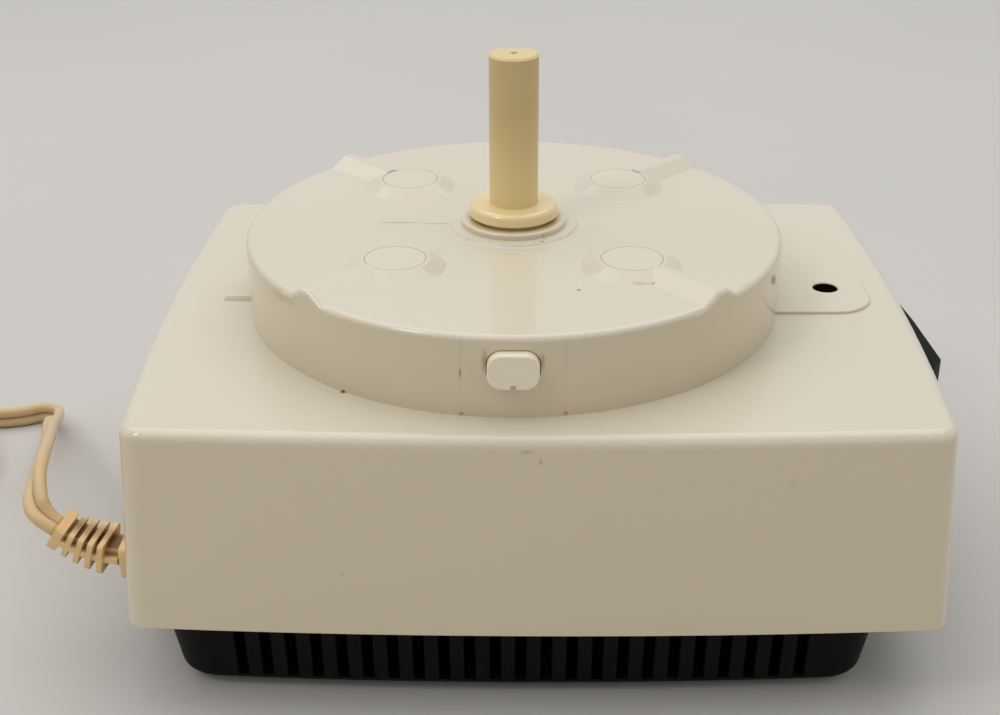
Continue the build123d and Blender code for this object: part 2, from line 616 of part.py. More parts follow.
with BuildPart() as rotor_core:
    with BuildSketch(SPIN.offset(STACK_FOOT)):
        Circle(STATOR_BORE_R - AIR_GAP)
    extrude(amount=STACK_HEIGHT)
    with BuildSketch(SPIN.offset(STACK_FOOT - ROTOR_RING)):
        Circle(STATOR_BORE_R - 2 * WALL)
    extrude(amount=STACK_HEIGHT + 2 * ROTOR_RING)
    with BuildSketch(SPIN.offset(STACK_FOOT - ROTOR_RING)):
        Circle(SHAFT_R + FIT)
    extrude(amount=STACK_HEIGHT + 2 * ROTOR_RING, mode=Mode.SUBTRACT)
rotor_core.part.label = "rotor_core"
export_step(rotor_core.part, "parts/rotor_core.step")

with BuildPart() as cooling_fan:
    with BuildSketch(SPIN.offset(SHAFT_FOOT)):
        Circle(FAN_R)
    extrude(amount=FAN_DISC)
    with BuildSketch(SPIN.offset(SHAFT_FOOT + FAN_DISC)):
        with PolarLocations((FAN_R + FAN_HUB_R) / 2, FAN_BLADE_COUNT):
            Rectangle(FAN_R - FAN_HUB_R - WALL, FAN_DISC)
    extrude(amount=FAN_BLADE_HEIGHT)
    with BuildSketch(SPIN.offset(SHAFT_FOOT)):
        Circle(FAN_HUB_R)
    extrude(amount=FAN_DISC + FAN_BLADE_HEIGHT)
    with BuildSketch(SPIN.offset(SHAFT_FOOT)):
        Circle(SHAFT_R + FIT)
    extrude(amount=FAN_DISC + FAN_BLADE_HEIGHT, mode=Mode.SUBTRACT)
cooling_fan.part.label = "cooling_fan"
export_step(cooling_fan.part, "parts/cooling_fan.step")

with BuildPart() as stator_core:
    with BuildSketch(SPIN.offset(STACK_FOOT)):
        Circle(STATOR_R)
        Circle(STATOR_BORE_R, mode=Mode.SUBTRACT)
        with PolarLocations(SLOT_MIDDLE_R, STATOR_SLOTS):
            Rectangle(*STATOR_SLOT, mode=Mode.SUBTRACT)
        with PolarLocations(STATOR_BORE_R + SLOT_LIP / 2, STATOR_SLOTS):
            Rectangle(2 * SLOT_LIP, SLOT_MOUTH, mode=Mode.SUBTRACT)
        with PolarLocations(BOLT_CIRCLE_R, 4):
            Circle(BOLT_R + FIT, mode=Mode.SUBTRACT)
    extrude(amount=STACK_HEIGHT)
stator_core.part.label = "stator_core"
export_step(stator_core.part, "parts/stator_core.step")

with BuildPart() as stator_windings:
    with BuildSketch(SPIN.offset(STACK_FOOT - GAP)):
        with PolarLocations(SLOT_MIDDLE_R, STATOR_SLOTS):
            Rectangle(STATOR_SLOT[0] - 2 * GAP, STATOR_SLOT[1] - 2 * GAP)
    extrude(amount=STACK_HEIGHT + 2 * GAP)
    for level, height in ((STACK_FOOT - GAP, -COIL_OVERHANG), (STACK_TOP + GAP, COIL_OVERHANG)):
        with BuildSketch(SPIN.offset(level)):
            Circle(SLOT_MIDDLE_R + STATOR_SLOT[0] / 2)
            Circle(SLOT_MIDDLE_R - STATOR_SLOT[0] / 2, mode=Mode.SUBTRACT)
        extrude(amount=height)
stator_windings.part.label = "stator_windings"
export_step(stator_windings.part, "parts/stator_windings.step")


def end_bracket(face, direction):
    """Cup-shaped motor end bracket standing on one face of the laminations."""
    outer = face + direction * (BRACKET_DEPTH + BRACKET_PLATE)
    hub_height = BEARING_HEIGHT + BEARING_FLOOR
    with BuildPart() as bracket:
        with BuildSketch(SPIN.offset(face)):
            Circle(STATOR_R)
            Circle(STATOR_R - BRACKET_RING, mode=Mode.SUBTRACT)
        extrude(amount=direction * BRACKET_DEPTH)
        with BuildSketch(SPIN.offset(outer)):
            Circle(STATOR_R)
            with PolarLocations(VENT_CIRCLE_R, VENT_COUNT, start_angle=180 / VENT_COUNT):
                Circle(VENT_R, mode=Mode.SUBTRACT)
        extrude(amount=-direction * BRACKET_PLATE)
        with BuildSketch(SPIN.offset(outer)):
            Circle(BEARING_R + BEARING_HOUSING_WALL)
        extrude(amount=-direction * hub_height)
        with BuildSketch(SPIN.offset(outer)):
            Circle(SHAFT_R + 1)
        extrude(amount=-direction * hub_height, mode=Mode.SUBTRACT)
        with BuildSketch(SPIN.offset(outer - direction * BEARING_FLOOR)):
            Circle(BEARING_R + FIT)
        extrude(amount=-direction * BEARING_HEIGHT, mode=Mode.SUBTRACT)
        with BuildSketch(SPIN.offset(outer)):
            with PolarLocations(BOLT_CIRCLE_R, 4):
                Circle(BOLT_R + FIT)
        extrude(amount=-direction * (BRACKET_DEPTH + BRACKET_PLATE), mode=Mode.SUBTRACT)
    return bracket.part


def bush(floor, direction):
    """Sintered bush seated in a bracket's hub."""
    with BuildPart() as bearing:
        with BuildSketch(SPIN.offset(floor)):
            Circle(BEARING_R)
            Circle(SHAFT_R + FIT, mode=Mode.SUBTRACT)
        extrude(amount=-direction * BEARING_HEIGHT)
        chamfer(bearing.edges().filter_by(GeomType.CIRCLE).sort_by(SortBy.RADIUS)[-2:], BEARING_R / 12)
    return bearing.part


with BuildPart() as upper_bracket:
    add(end_bracket(STACK_TOP, 1))
    ear_reach = BOSS_CIRCLE_R - STATOR_R + BRACKET_RING / 2
    with BuildSketch(SPIN.offset(MOTOR_FACE)):
        with PolarLocations(BOSS_CIRCLE_R, 4, start_angle=DIAGONALS[0]):
            Circle(EAR_R)
        with PolarLocations(BOSS_CIRCLE_R - ear_reach / 2, 4, start_angle=DIAGONALS[0]):
            Rectangle(ear_reach, 2 * EAR_R)
    extrude(amount=-EAR_THICKNESS)
    with BuildSketch(SPIN.offset(MOTOR_FACE)):
        with PolarLocations(BOSS_CIRCLE_R, 4, start_angle=DIAGONALS[0]):
            Circle(MOTOR_SCREW_R + FIT)
    extrude(amount=-EAR_THICKNESS, mode=Mode.SUBTRACT)
upper_bracket.part.label = "upper_bracket"
export_step(upper_bracket.part, "parts/upper_bracket.step")

with BuildPart() as lower_bracket:
    add(end_bracket(STACK_FOOT, -1))
lower_bracket.part.label = "lower_bracket"
export_step(lower_bracket.part, "parts/lower_bracket.step")

with BuildPart() as upper_bearing:
    add(bush(MOTOR_FACE - BEARING_FLOOR, 1))
upper_bearing.part.label = "upper_bearing"
export_step(upper_bearing.part, "parts/upper_bearing.step")

with BuildPart() as lower_bearing:
    add(bush(MOTOR_UNDER + BEARING_FLOOR, -1))
lower_bearing.part.label = "lower_bearing"
export_step(lower_bearing.part, "parts/lower_bearing.step")

with BuildPart() as through_bolts:
    for level, height, radius in (
        (MOTOR_UNDER, MOTOR_FACE - MOTOR_UNDER, BOLT_R),
        (MOTOR_FACE, BOLT_HEAD[1], BOLT_HEAD[0]),
    ):
        with BuildSketch(SPIN.offset(level)):
            with PolarLocations(BOLT_CIRCLE_R, 4):
                Circle(radius)
        extrude(amount=height)
    with BuildSketch(SPIN.offset(MOTOR_UNDER)):
        with PolarLocations(BOLT_CIRCLE_R, 4):
            RegularPolygon(BOLT_HEAD[0], 6)
    extrude(amount=-BOLT_HEAD[1])
through_bolts.part.label = "through_bolts"
export_step(through_bolts.part, "parts/through_bolts.step")

# ================================================================== run capacitor on the pan's floor
with BuildPart() as run_capacitor:
    with BuildSketch(CAN_FACE):
        Circle(CAN_R)
    extrude(amount=-CAN_LENGTH)
    chamfer(run_capacitor.edges().filter_by(GeomType.CIRCLE), CAN_R / 12)
    with BuildSketch(CAN_FACE):
        with GridLocations(TERMINAL_PITCH, 1, 2, 1):
            Rectangle(TERMINAL_SIZE[2], TERMINAL_SIZE[1])
    extrude(amount=TERMINAL_SIZE[0])
run_capacitor.part.label = "run_capacitor"
export_step(run_capacitor.part, "parts/run_capacitor.step")

with BuildPart() as capacitor_strap:
    band_r = CAN_R + GAP
    with BuildSketch(CAN_FACE.offset(-(CAN_LENGTH - STRAP_WIDTH) / 2)):
        Circle(band_r + STRAP_THICKNESS)
        with Locations((0, -band_r / 2)):
            Rectangle(2 * (band_r + STRAP_THICKNESS), band_r)
        with Locations((0, -band_r + STRAP_THICKNESS / 2)):
            Rectangle(2 * (band_r + STRAP_THICKNESS + STRAP_FOOT), STRAP_THICKNESS)
        Circle(band_r, mode=Mode.SUBTRACT)
        with Locations((0, -band_r / 2)):
            Rectangle(2 * band_r, band_r, mode=Mode.SUBTRACT)
        with Locations((0, -3 * band_r / 2)):
            Rectangle(4 * band_r, band_r, mode=Mode.SUBTRACT)
    extrude(amount=-STRAP_WIDTH)
    with BuildSketch(STRAP_SCREWS):
        with GridLocations(STRAP_SCREW_PITCH, 1, 2, 1):
            Circle(STRAP_SCREW_R + FIT)
    extrude(amount=STRAP_THICKNESS, mode=Mode.SUBTRACT)
capacitor_strap.part.label = "capacitor_strap"
export_step(capacitor_strap.part, "parts/capacitor_strap.step")

with BuildPart() as strap_screws:
    with BuildSketch(STRAP_SCREWS.offset(STRAP_THICKNESS)):
        with GridLocations(STRAP_SCREW_PITCH, 1, 2, 1):
            Circle(2 * STRAP_SCREW_R)
    extrude(amount=STRAP_SCREW_R)
    with BuildSketch(STRAP_SCREWS.offset(STRAP_THICKNESS)):
        with GridLocations(STRAP_SCREW_PITCH, 1, 2, 1):
            Circle(STRAP_SCREW_R)
    extrude(amount=-(STRAP_THICKNESS + PAN_WALL))
strap_screws.part.label = "strap_screws"
export_step(strap_screws.part, "parts/strap_screws.step")

# ================================================================== bowl latch button
LATCH_HALF = LATCH_SIZE[0] / 2 + LATCH_LIP
LATCH_BODY = LATCH_PROUD + SEAT_R + GAP - sqrt((SEAT_R - WALL) ** 2 - LATCH_HALF ** 2)
GUIDE_BACK = LATCH_PROUD + WALL + LATCH_GUIDE_DEPTH
LATCH_SPRING_ROOM = GUIDE_BACK - LATCH_GUIDE_WALL - LATCH_BODY - LATCH_LIP_THICKNESS

with BuildPart() as latch_button:
    with BuildSketch(LATCH_FACE):
        RectangleRounded(*LATCH_SIZE, LATCH_CORNER_R)
    extrude(amount=-LATCH_BODY)
    fillet(latch_button.edges().group_by(Axis.Y)[0], LATCH_PROUD / 5)
    with BuildSketch(LATCH_FACE.offset(-LATCH_BODY)):
        RectangleRounded(LATCH_SIZE[0] + 2 * LATCH_LIP, LATCH_SIZE[1] + 2 * LATCH_LIP, LATCH_CORNER_R)
    extrude(amount=-LATCH_LIP_THICKNESS)
    with BuildSketch(LATCH_FACE.offset(-LATCH_BODY)):
        Circle(LATCH_STEM_R)
    extrude(amount=-(LATCH_LIP_THICKNESS + LATCH_SPRING_ROOM + LATCH_GUIDE_WALL))
    with BuildSketch(LATCH_FACE):
        with Locations((0, -(LATCH_SIZE[1] - LATCH_NOTCH[1]) / 2)):
            Rectangle(*LATCH_NOTCH)
    extrude(amount=-LATCH_PROUD, mode=Mode.SUBTRACT)
latch_button.part.label = "latch_button"
export_step(latch_button.part, "parts/latch_button.step")

with BuildPart() as latch_guide:
    channel_half = LATCH_HALF + GAP
    channel_foot = LATCH_SIZE[1] / 2 + LATCH_LIP + GAP
    channel_head = SEAT_TOP - WALL - BODY_TOP - LATCH_LIFT
    with BuildSketch(LATCH_FACE):
        with Locations((0, (channel_head - channel_foot - LATCH_GUIDE_WALL) / 2)):
            Rectangle(
                2 * (channel_half + LATCH_GUIDE_WALL), channel_head + channel_foot + LATCH_GUIDE_WALL
            )
    extrude(amount=-GUIDE_BACK)
    with BuildSketch(LATCH_FACE):
        with Locations((0, (channel_head - channel_foot) / 2)):
            Rectangle(2 * channel_half, channel_head + channel_foot)
    extrude(amount=-(GUIDE_BACK - LATCH_GUIDE_WALL), mode=Mode.SUBTRACT)
    with BuildSketch(LATCH_FACE):
        Circle(LATCH_STEM_R + 2 * FIT)
    extrude(amount=-GUIDE_BACK, mode=Mode.SUBTRACT)
    with BuildSketch(SPIN.offset(BODY_TOP)):
        Circle(SEAT_R - WALL - 2 * FIT)
    extrude(amount=SEAT_HEIGHT, mode=Mode.INTERSECT)
latch_guide.part.label = "latch_guide"
export_step(latch_guide.part, "parts/latch_guide.step")


def coil_spring(start, direction, length, radius, turns):
    """Open compression spring whose wire lies between two faces this far apart."""
    height = length - 2 * SPRING_WIRE_R - GAP
    begin = start + direction * (SPRING_WIRE_R + GAP / 2)
    with BuildPart() as spring:
        with BuildLine() as wire:
            Helix(height / turns, height, radius, center=begin, direction=direction)
        with BuildSketch(Plane(wire.line @ 0, z_dir=wire.line % 0)):
            RegularPolygon(SPRING_WIRE_R, 8)
        sweep(path=wire.line, is_frenet=True)
    return spring.part


with BuildPart() as latch_spring:
    add(coil_spring(
        LATCH_FACE.origin + Vector(0, LATCH_BODY + LATCH_LIP_THICKNESS, 0), Vector(0, 1, 0),
        LATCH_SPRING_ROOM, LATCH_STEM_R + 3 * SPRING_WIRE_R, 5,
    ))
latch_spring.part.label = "latch_spring"
export_step(latch_spring.part, "parts/latch_spring.step")

# ================================================================== bowl interlock
HOLE_UNDER = BODY_TOP - WALL
PLUNGER_TOP = HOLE_UNDER - GAP
GUIDE_BORE_R = PLUNGER_R + 2 * FIT
GUIDE_FOOT = HOLE_UNDER - GUIDE_DEPTH
MICROSWITCH_TOP = HOLE_UNDER - MICROSWITCH_DROP
MICROSWITCH_FOOT = MICROSWITCH_TOP - MICROSWITCH_SIZE[2]
MICROSWITCH_LEFT = -LEVER_ARM - 2.5 * LEVER_PIN_R     # from the plunger's axis
LEVER_PIVOT = MICROSWITCH_TOP + LEVER_RISE
PLUNGER_FOOT = LEVER_PIVOT + 2 * LEVER_PIN_R + GAP
SWITCH_SIDE = Plane((HOLE_X, HOLE_Y + MICROSWITCH_SIZE[1] / 2, 0), x_dir=(1, 0, 0), z_dir=(0, -1, 0))
MICROSWITCH_PEGS = tuple(
    (MICROSWITCH_LEFT + share * MICROSWITCH_SIZE[0], MICROSWITCH_FOOT + MICROSWITCH_SIZE[2] / 3)
    for share in (0.2, 0.8)
)

with BuildPart() as interlock_guide:
    with BuildSketch(HOLE.offset(HOLE_UNDER)):
        Circle(GUIDE_BORE_R + GUIDE_WALL)
    extrude(amount=-GUIDE_DEPTH)
    with BuildSketch(HOLE.offset(HOLE_UNDER)):
        Circle(GUIDE_BORE_R + 2 * GUIDE_WALL)
    extrude(amount=-GUIDE_WALL)
    # plate that carries the microswitch
    plate_right = GUIDE_BORE_R + GUIDE_WALL
    plate_top = GUIDE_FOOT + 2 * GUIDE_WALL
    with BuildSketch(SWITCH_SIDE):
        with Locations(((MICROSWITCH_LEFT + plate_right) / 2, (plate_top + MICROSWITCH_FOOT) / 2)):
            Rectangle(plate_right - MICROSWITCH_LEFT, plate_top - MICROSWITCH_FOOT)
    extrude(amount=-SWITCH_PLATE)
    with BuildSketch(SWITCH_SIDE):
        with Locations(*MICROSWITCH_PEGS):
            Circle(MICROSWITCH_PEG_R)
    extrude(amount=MICROSWITCH_SIZE[1])
    with BuildSketch(HOLE.offset(HOLE_UNDER)):
        Circle(GUIDE_BORE_R)
    extrude(amount=-(GUIDE_DEPTH - GUIDE_FLOOR), mode=Mode.SUBTRACT)
    with BuildSketch(HOLE.offset(HOLE_UNDER)):
        Circle(PLUNGER_STEM_R + 2 * FIT)
    extrude(amount=-GUIDE_DEPTH, mode=Mode.SUBTRACT)
interlock_guide.part.label = "interlock_guide"
export_step(interlock_guide.part, "parts/interlock_guide.step")

with BuildPart() as interlock_plunger:
    with BuildSketch(HOLE.offset(PLUNGER_TOP)):
        Circle(PLUNGER_R)
    extrude(amount=-PLUNGER_HEAD)
    fillet(interlock_plunger.edges().group_by(Axis.Z)[-1], PLUNGER_R / 5)
    with BuildSketch(HOLE.offset(PLUNGER_TOP - PLUNGER_HEAD)):
        Circle(PLUNGER_STEM_R)
    extrude(amount=-(PLUNGER_TOP - PLUNGER_HEAD - PLUNGER_FOOT))
    fillet(interlock_plunger.edges().group_by(Axis.Z)[0], PLUNGER_STEM_R * 0.8)
interlock_plunger.part.label = "interlock_plunger"
export_step(interlock_plunger.part, "parts/interlock_plunger.step")

with BuildPart() as interlock_spring:
    spring_foot = GUIDE_FOOT + GUIDE_FLOOR
    add(coil_spring(
        HOLE.offset(spring_foot).origin, Vector(0, 0, 1), PLUNGER_TOP - PLUNGER_HEAD - spring_foot,
        PLUNGER_STEM_R + 3 * SPRING_WIRE_R, 4,
    ))
interlock_spring.part.label = "interlock_spring"
export_step(interlock_spring.part, "parts/interlock_spring.step")

with BuildPart() as microswitch:
    with BuildSketch(SWITCH_SIDE):
        with Locations((MICROSWITCH_LEFT, MICROSWITCH_FOOT)):
            Rectangle(MICROSWITCH_SIZE[0], MICROSWITCH_SIZE[2], align=Align.MIN)
    extrude(amount=MICROSWITCH_SIZE[1])
    # cheeks and pin that carry the lever, with a slot between them
    with BuildSketch(SWITCH_SIDE):
        with Locations((-LEVER_ARM, (LEVER_PIVOT + MICROSWITCH_TOP) / 2)):
            Rectangle(4 * LEVER_PIN_R, LEVER_PIVOT - MICROSWITCH_TOP)
        with Locations((-LEVER_ARM, LEVER_PIVOT)):
            Circle(2 * LEVER_PIN_R)
    extrude(amount=MICROSWITCH_SIZE[1])
    with BuildSketch(SWITCH_SIDE.offset(MICROSWITCH_SIZE[1] / 2)):
        with Locations((-LEVER_ARM, LEVER_PIVOT)):
            Rectangle(8 * LEVER_PIN_R, 2 * (LEVER_PIVOT - MICROSWITCH_TOP))
    extrude(amount=LEVER_WIDTH / 2 + GAP, both=True, mode=Mode.SUBTRACT)
    with BuildSketch(SWITCH_SIDE):
        with Locations((-LEVER_ARM, LEVER_PIVOT)):
            Circle(LEVER_PIN_R)
    extrude(amount=MICROSWITCH_SIZE[1])
    with BuildSketch(HOLE.offset(MICROSWITCH_TOP)):
        with Locations((-LEVER_ARM / 2, 0)):
            Circle(LEVER_WIDTH / 3)
    extrude(amount=MICROSWITCH_BUTTON)
    with BuildSketch(SWITCH_SIDE):
        with Locations(*MICROSWITCH_PEGS):
            Circle(MICROSWITCH_PEG_R + FIT)
    extrude(amount=MICROSWITCH_SIZE[1], mode=Mode.SUBTRACT)
microswitch.part.label = "microswitch"
export_step(microswitch.part, "parts/microswitch.step")

with BuildPart() as microswitch_lever:
    with BuildSketch(SWITCH_SIDE.offset(MICROSWITCH_SIZE[1] / 2)):
        with Locations((-LEVER_ARM, LEVER_PIVOT)):
            Circle(2 * LEVER_PIN_R)
        with Locations((-LEVER_ARM, LEVER_PIVOT + 2 * LEVER_PIN_R - LEVER_THICKNESS)):
            Rectangle(LEVER_ARM + PLUNGER_STEM_R, LEVER_THICKNESS, align=Align.MIN)
        with Locations((-LEVER_ARM, LEVER_PIVOT)):
            Circle(LEVER_PIN_R + FIT, mode=Mode.SUBTRACT)
    extrude(amount=LEVER_WIDTH / 2, both=True)
microswitch_lever.part.label = "microswitch_lever"
export_step(microswitch_lever.part, "parts/microswitch_lever.step")

# ================================================================== rocker switch
with BuildPart() as switch_housing:
    with BuildSketch(SWITCH_FACE):
        Rectangle(SWITCH_WELL[0] + 2 * SWITCH_LIP, SWITCH_WELL[1] + 2 * SWITCH_LIP)
    extrude(amount=-(WALL + SWITCH_LIP))
    add(body_cavity.part, mode=Mode.INTERSECT)
    with BuildSketch(SWITCH_FACE.offset(WALL)):
        Rectangle(*SWITCH_WELL)
    extrude(amount=-(WALL + SWITCH_DEPTH))
    with BuildSketch(SWITCH_FACE.offset(WALL)):
        Rectangle(SWITCH_WELL[0] - 2 * SWITCH_WALL, SWITCH_WELL[1] - 2 * SWITCH_WALL)
    extrude(amount=-(WALL + SWITCH_DEPTH - SWITCH_WALL), mode=Mode.SUBTRACT)
    add(body_envelope.part, mode=Mode.INTERSECT)
    with BuildSketch(ROCKER_PIVOT):
        Circle(ROCKER_PIN_R + FIT)
    extrude(amount=SWITCH_WELL[1] / 2, both=True, mode=Mode.SUBTRACT)
switch_housing.part.label = "switch_housing"
export_step(switch_housing.part, "parts/switch_housing.step")

with BuildPart() as switch_rocker:
    with BuildSketch(ROCKER_PIVOT.offset(-ROCKER_HALF_HEIGHT)):
        with BuildLine():
            Polyline(
                (ROCKER_PIVOT_DEPTH - ROCKER_BACK, -ROCKER_HALF_LENGTH),
                (ROCKER_PIVOT_DEPTH + ROCKER_END_PROUD, -ROCKER_HALF_LENGTH),
                (ROCKER_PIVOT_DEPTH + ROCKER_PROUD, -ROCKER_TIP),
                (ROCKER_PIVOT_DEPTH + ROCKER_PROUD, 0),
                (ROCKER_PIVOT_DEPTH + ROCKER_END_PROUD, ROCKER_TIP),
                (ROCKER_PIVOT_DEPTH + ROCKER_TAIL_PROUD, ROCKER_HALF_LENGTH),
                (ROCKER_PIVOT_DEPTH - ROCKER_BACK, ROCKER_HALF_LENGTH),
                close=True,
            )
        make_face()
        Circle(ROCKER_BOSS_R)
    extrude(amount=2 * ROCKER_HALF_HEIGHT)
    face_edges = switch_rocker.edges().filter_by(Axis.Z).filter_by(
        lambda e: e.center().X > ROCKER_PIVOT.origin.X + ROCKER_PIVOT_DEPTH
        and abs(e.center().Y) > ROCKER_TIP / 2
    )
    fillet(face_edges, ROCKER_EDGE_R)
    with BuildSketch(ROCKER_PIVOT):
        Circle(ROCKER_PIN_R)
    extrude(amount=SWITCH_WELL[1] / 2 - GAP, both=True)
switch_rocker.part.label = "switch_rocker"
export_step(switch_rocker.part, "parts/switch_rocker.step")

with BuildPart() as switch_terminals:
    with BuildSketch(SWITCH_FACE.offset(-SWITCH_DEPTH)):
        with Locations((-ROCKER_TIP / 2, 0)):
            with GridLocations(TERMINAL_PITCH, 1, 3, 1):
                Rectangle(TERMINAL_SIZE[1], TERMINAL_SIZE[2])
    extrude(amount=-TERMINAL_SIZE[0])
switch_terminals.part.label = "switch_terminals"
export_step(switch_terminals.part, "parts/switch_terminals.step")

# ================================================================== strain relief
RELIEF_HEADING = Vector(-cos(radians(RELIEF_YAW_DEG)), sin(radians(RELIEF_YAW_DEG)), 0)
RELIEF_ACROSS = Vector(sin(radians(RELIEF_YAW_DEG)), cos(radians(RELIEF_YAW_DEG)), 0)
RELIEF_START = RELIEF_FACE.offset(RELIEF_PROUD).origin


def relief_plane(turned):
    """Plane across the strain relief where its bend has turned up by this many degrees."""
    rise = RELIEF_BEND_R * (1 - cos(radians(turned)))
    run = RELIEF_BEND_R * sin(radians(turned))
    return Plane(
        RELIEF_START + RELIEF_HEADING * run + Vector(0, 0, rise),
        x_dir=RELIEF_ACROSS,
        z_dir=RELIEF_HEADING * cos(radians(turned)) + Vector(0, 0, sin(radians(turned))),
    )


with BuildPart() as relief_lip:
    with BuildSketch(RELIEF_FACE):
        Rectangle(*RELIEF_BLOCK)
    extrude(amount=-(WALL + RELIEF_INNER_LIP))
    add(body_cavity.part, mode=Mode.INTERSECT)

with BuildPart() as strain_relief:
    with BuildSketch(RELIEF_FACE.offset(RELIEF_PROUD)):
        RectangleRounded(*RELIEF_BLOCK, RELIEF_EDGE_R)
    extrude(amount=-2 * RELIEF_PROUD)
    fillet(strain_relief.edges().group_by(Axis.X)[0], RELIEF_EDGE_R / 2)
    add(body_envelope.part, mode=Mode.SUBTRACT)
    with BuildSketch(RELIEF_FACE.offset(RELIEF_PROUD / 2)):
        Rectangle(*RELIEF_NECK)
    extrude(amount=-(RELIEF_PROUD / 2 + WALL + RELIEF_INNER_LIP))
    # core and fins along the bend
    with BuildLine():
        ThreePointArc(*[relief_plane(RELIEF_RISE_DEG * share).origin for share in (0, 0.5, 1)])
    with BuildSketch(relief_plane(0)):
        Rectangle(*RELIEF_CORE)
        Rectangle(*RELIEF_WEB)
    sweep()
    for fin in range(RELIEF_FINS):
        turned = degrees((RELIEF_FIRST_FIN + fin * FIN_PITCH) / RELIEF_BEND_R)
        scale_here = 1 - (1 - RELIEF_END_SCALE) * turned / RELIEF_RISE_DEG
        with BuildSketch(relief_plane(turned)):
            RectangleRounded(RELIEF_BLOCK[0] * scale_here, RELIEF_BLOCK[1] * scale_here, RELIEF_EDGE_R)
        extrude(amount=FIN_THICKNESS / 2, both=True)
    with BuildSketch(relief_plane(RELIEF_RISE_DEG).offset(-FIN_THICKNESS / 2)):
        RectangleRounded(
            RELIEF_BLOCK[0] * RELIEF_END_SCALE, RELIEF_BLOCK[1] * RELIEF_END_SCALE, RELIEF_EDGE_R
        )
    extrude(amount=FIN_THICKNESS / 2 + RELIEF_END)
    add(relief_lip.part)
strain_relief.part.label = "strain_relief"
export_step(strain_relief.part, "parts/strain_relief.step")

# ================================================================== mains cord
with BuildPart() as mains_leads:
    lead_start = RELIEF_FACE.offset(-(WALL + RELIEF_INNER_LIP)).origin
    lead_end = (WALL_X - SWITCH_DEPTH - TERMINAL_SIZE[0], -ROCKER_TIP / 2, SWITCH_HEIGHT)
    with BuildLine() as lead_path:
        FilletPolyline(
            lead_start,
            (LEAD_TURN_X, RELIEF_Y, RELIEF_HEIGHT),
            (LEAD_TURN_X, lead_end[1], SWITCH_HEIGHT),
            lead_end,
            radius=LEAD_BEND_R,
        )
    with BuildSketch(Plane(lead_path.line @ 0, z_dir=lead_path.line % 0)):
        Circle(LEAD_R)
    sweep(path=lead_path.line)
mains_leads.part.label = "mains_leads"
export_step(mains_leads.part, "parts/mains_leads.step")

CORD_EXIT = relief_plane(RELIEF_RISE_DEG).offset(RELIEF_END)
FLOOR_LEVEL = CORD_WIDTH / 2
CORD_ROUTE = [
    CORD_EXIT.origin,
    CORD_EXIT.offset(5.4).origin,
    Vector(-158.6, -64.3, 54.5),
    Vector(-160.4, -51.9, 57.6),
    Vector(-164.7, -31.5, 53.3),
    Vector(-175.3, 3, 37.5),
    Vector(-184.8, 36, 26),
    Vector(-191.3, 58, 16.5),
    Vector(-195.8, 73.5, 9),
    Vector(-198.3, 83.5, 5),
    Vector(-204.8, 87.5, FLOOR_LEVEL),
    Vector(-211.8, 83.2, FLOOR_LEVEL),
    Vector(-223.6, 81, FLOOR_LEVEL),
    Vector(-235.3, 81, FLOOR_LEVEL),
]
runs = [after - before for before, after in zip(CORD_ROUTE, CORD_ROUTE[1:])]
cord_radii = [
    0.45 * min(before.length, after.length) / tan(radians(before.get_angle(after)) / 2)
    for before, after in zip(runs, runs[1:])
]
print("cord bend radii:", [round(radius, 1) for radius in cord_radii])

with BuildPart() as cord:
    with BuildLine() as cord_path:
        FilletPolyline(*CORD_ROUTE, radius=cord_radii)
    with BuildSketch(Plane(cord_path.line @ 0, z_dir=cord_path.line % 0)):
        Circle(CORD_WIDTH / 2)
    sweep(path=cord_path.line)
cord.part.label = "cord"
export_step(cord.part, "parts/cord.step")
cord_length = sum(edge.length for edge in cord_path.edges())
full_tube = pi * (CORD_WIDTH / 2) ** 2 * cord_length
print("cord length:", round(cord_length, 1), "volume share:", round(cord.part.volume / full_tube, 4))

# neat coil of the put-away length: two layers, entered and left along the same tangent
COIL_JOIN = CORD_ROUTE[-1] + Vector(-COIL_LEAD, 0, 0)
COIL = Plane((COIL_JOIN.X, COIL_JOIN.Y - COIL_R, 0))
COIL_INNER_R = COIL_R - CORD_WIDTH * COIL_TURNS / 2
plug_back = Vector(COIL_JOIN.X - PLUG_LEAD, COIL_JOIN.Y, PLUG_BODY[2] / 2)
top_turn = Vector(COIL_JOIN.X, COIL_JOIN.Y, FLOOR_LEVEL + CORD_WIDTH)
with BuildPart() as cord_coil:
    with BuildSketch(COIL):
        Circle(COIL_R + CORD_WIDTH / 2)
        Circle(COIL_INNER_R - CORD_WIDTH / 2, mode=Mode.SUBTRACT)
    extrude(amount=2 * CORD_WIDTH)
    for start, end in ((CORD_ROUTE[-1], COIL_JOIN), (plug_back, top_turn)):
        with BuildSketch(Plane(start, z_dir=(1, 0, 0))):
            Circle(CORD_WIDTH / 2 - GAP)
        extrude(amount=(end - start).length, dir=end - start)
cord_coil.part.label = "cord_coil"
export_step(cord_coil.part, "parts/cord_coil.step")

PLUG_FACE = Plane(plug_back, x_dir=(0, 1, 0), z_dir=(-1, 0, 0))
with BuildPart() as plug_body:
    with BuildSketch(PLUG_FACE):
        RectangleRounded(PLUG_BODY[1] / 2, PLUG_BODY[2] * 0.8, PLUG_EDGE_R)
    with BuildSketch(PLUG_FACE.offset(PLUG_BODY[0] / 2)):
        RectangleRounded(PLUG_BODY[1], PLUG_BODY[2], PLUG_EDGE_R)
    loft()
    with BuildSketch(PLUG_FACE.offset(PLUG_BODY[0] / 2)):
        RectangleRounded(PLUG_BODY[1], PLUG_BODY[2], PLUG_EDGE_R)
    extrude(amount=PLUG_BODY[0] / 2)
plug_body.part.label = "plug_body"
export_step(plug_body.part, "parts/plug_body.step")

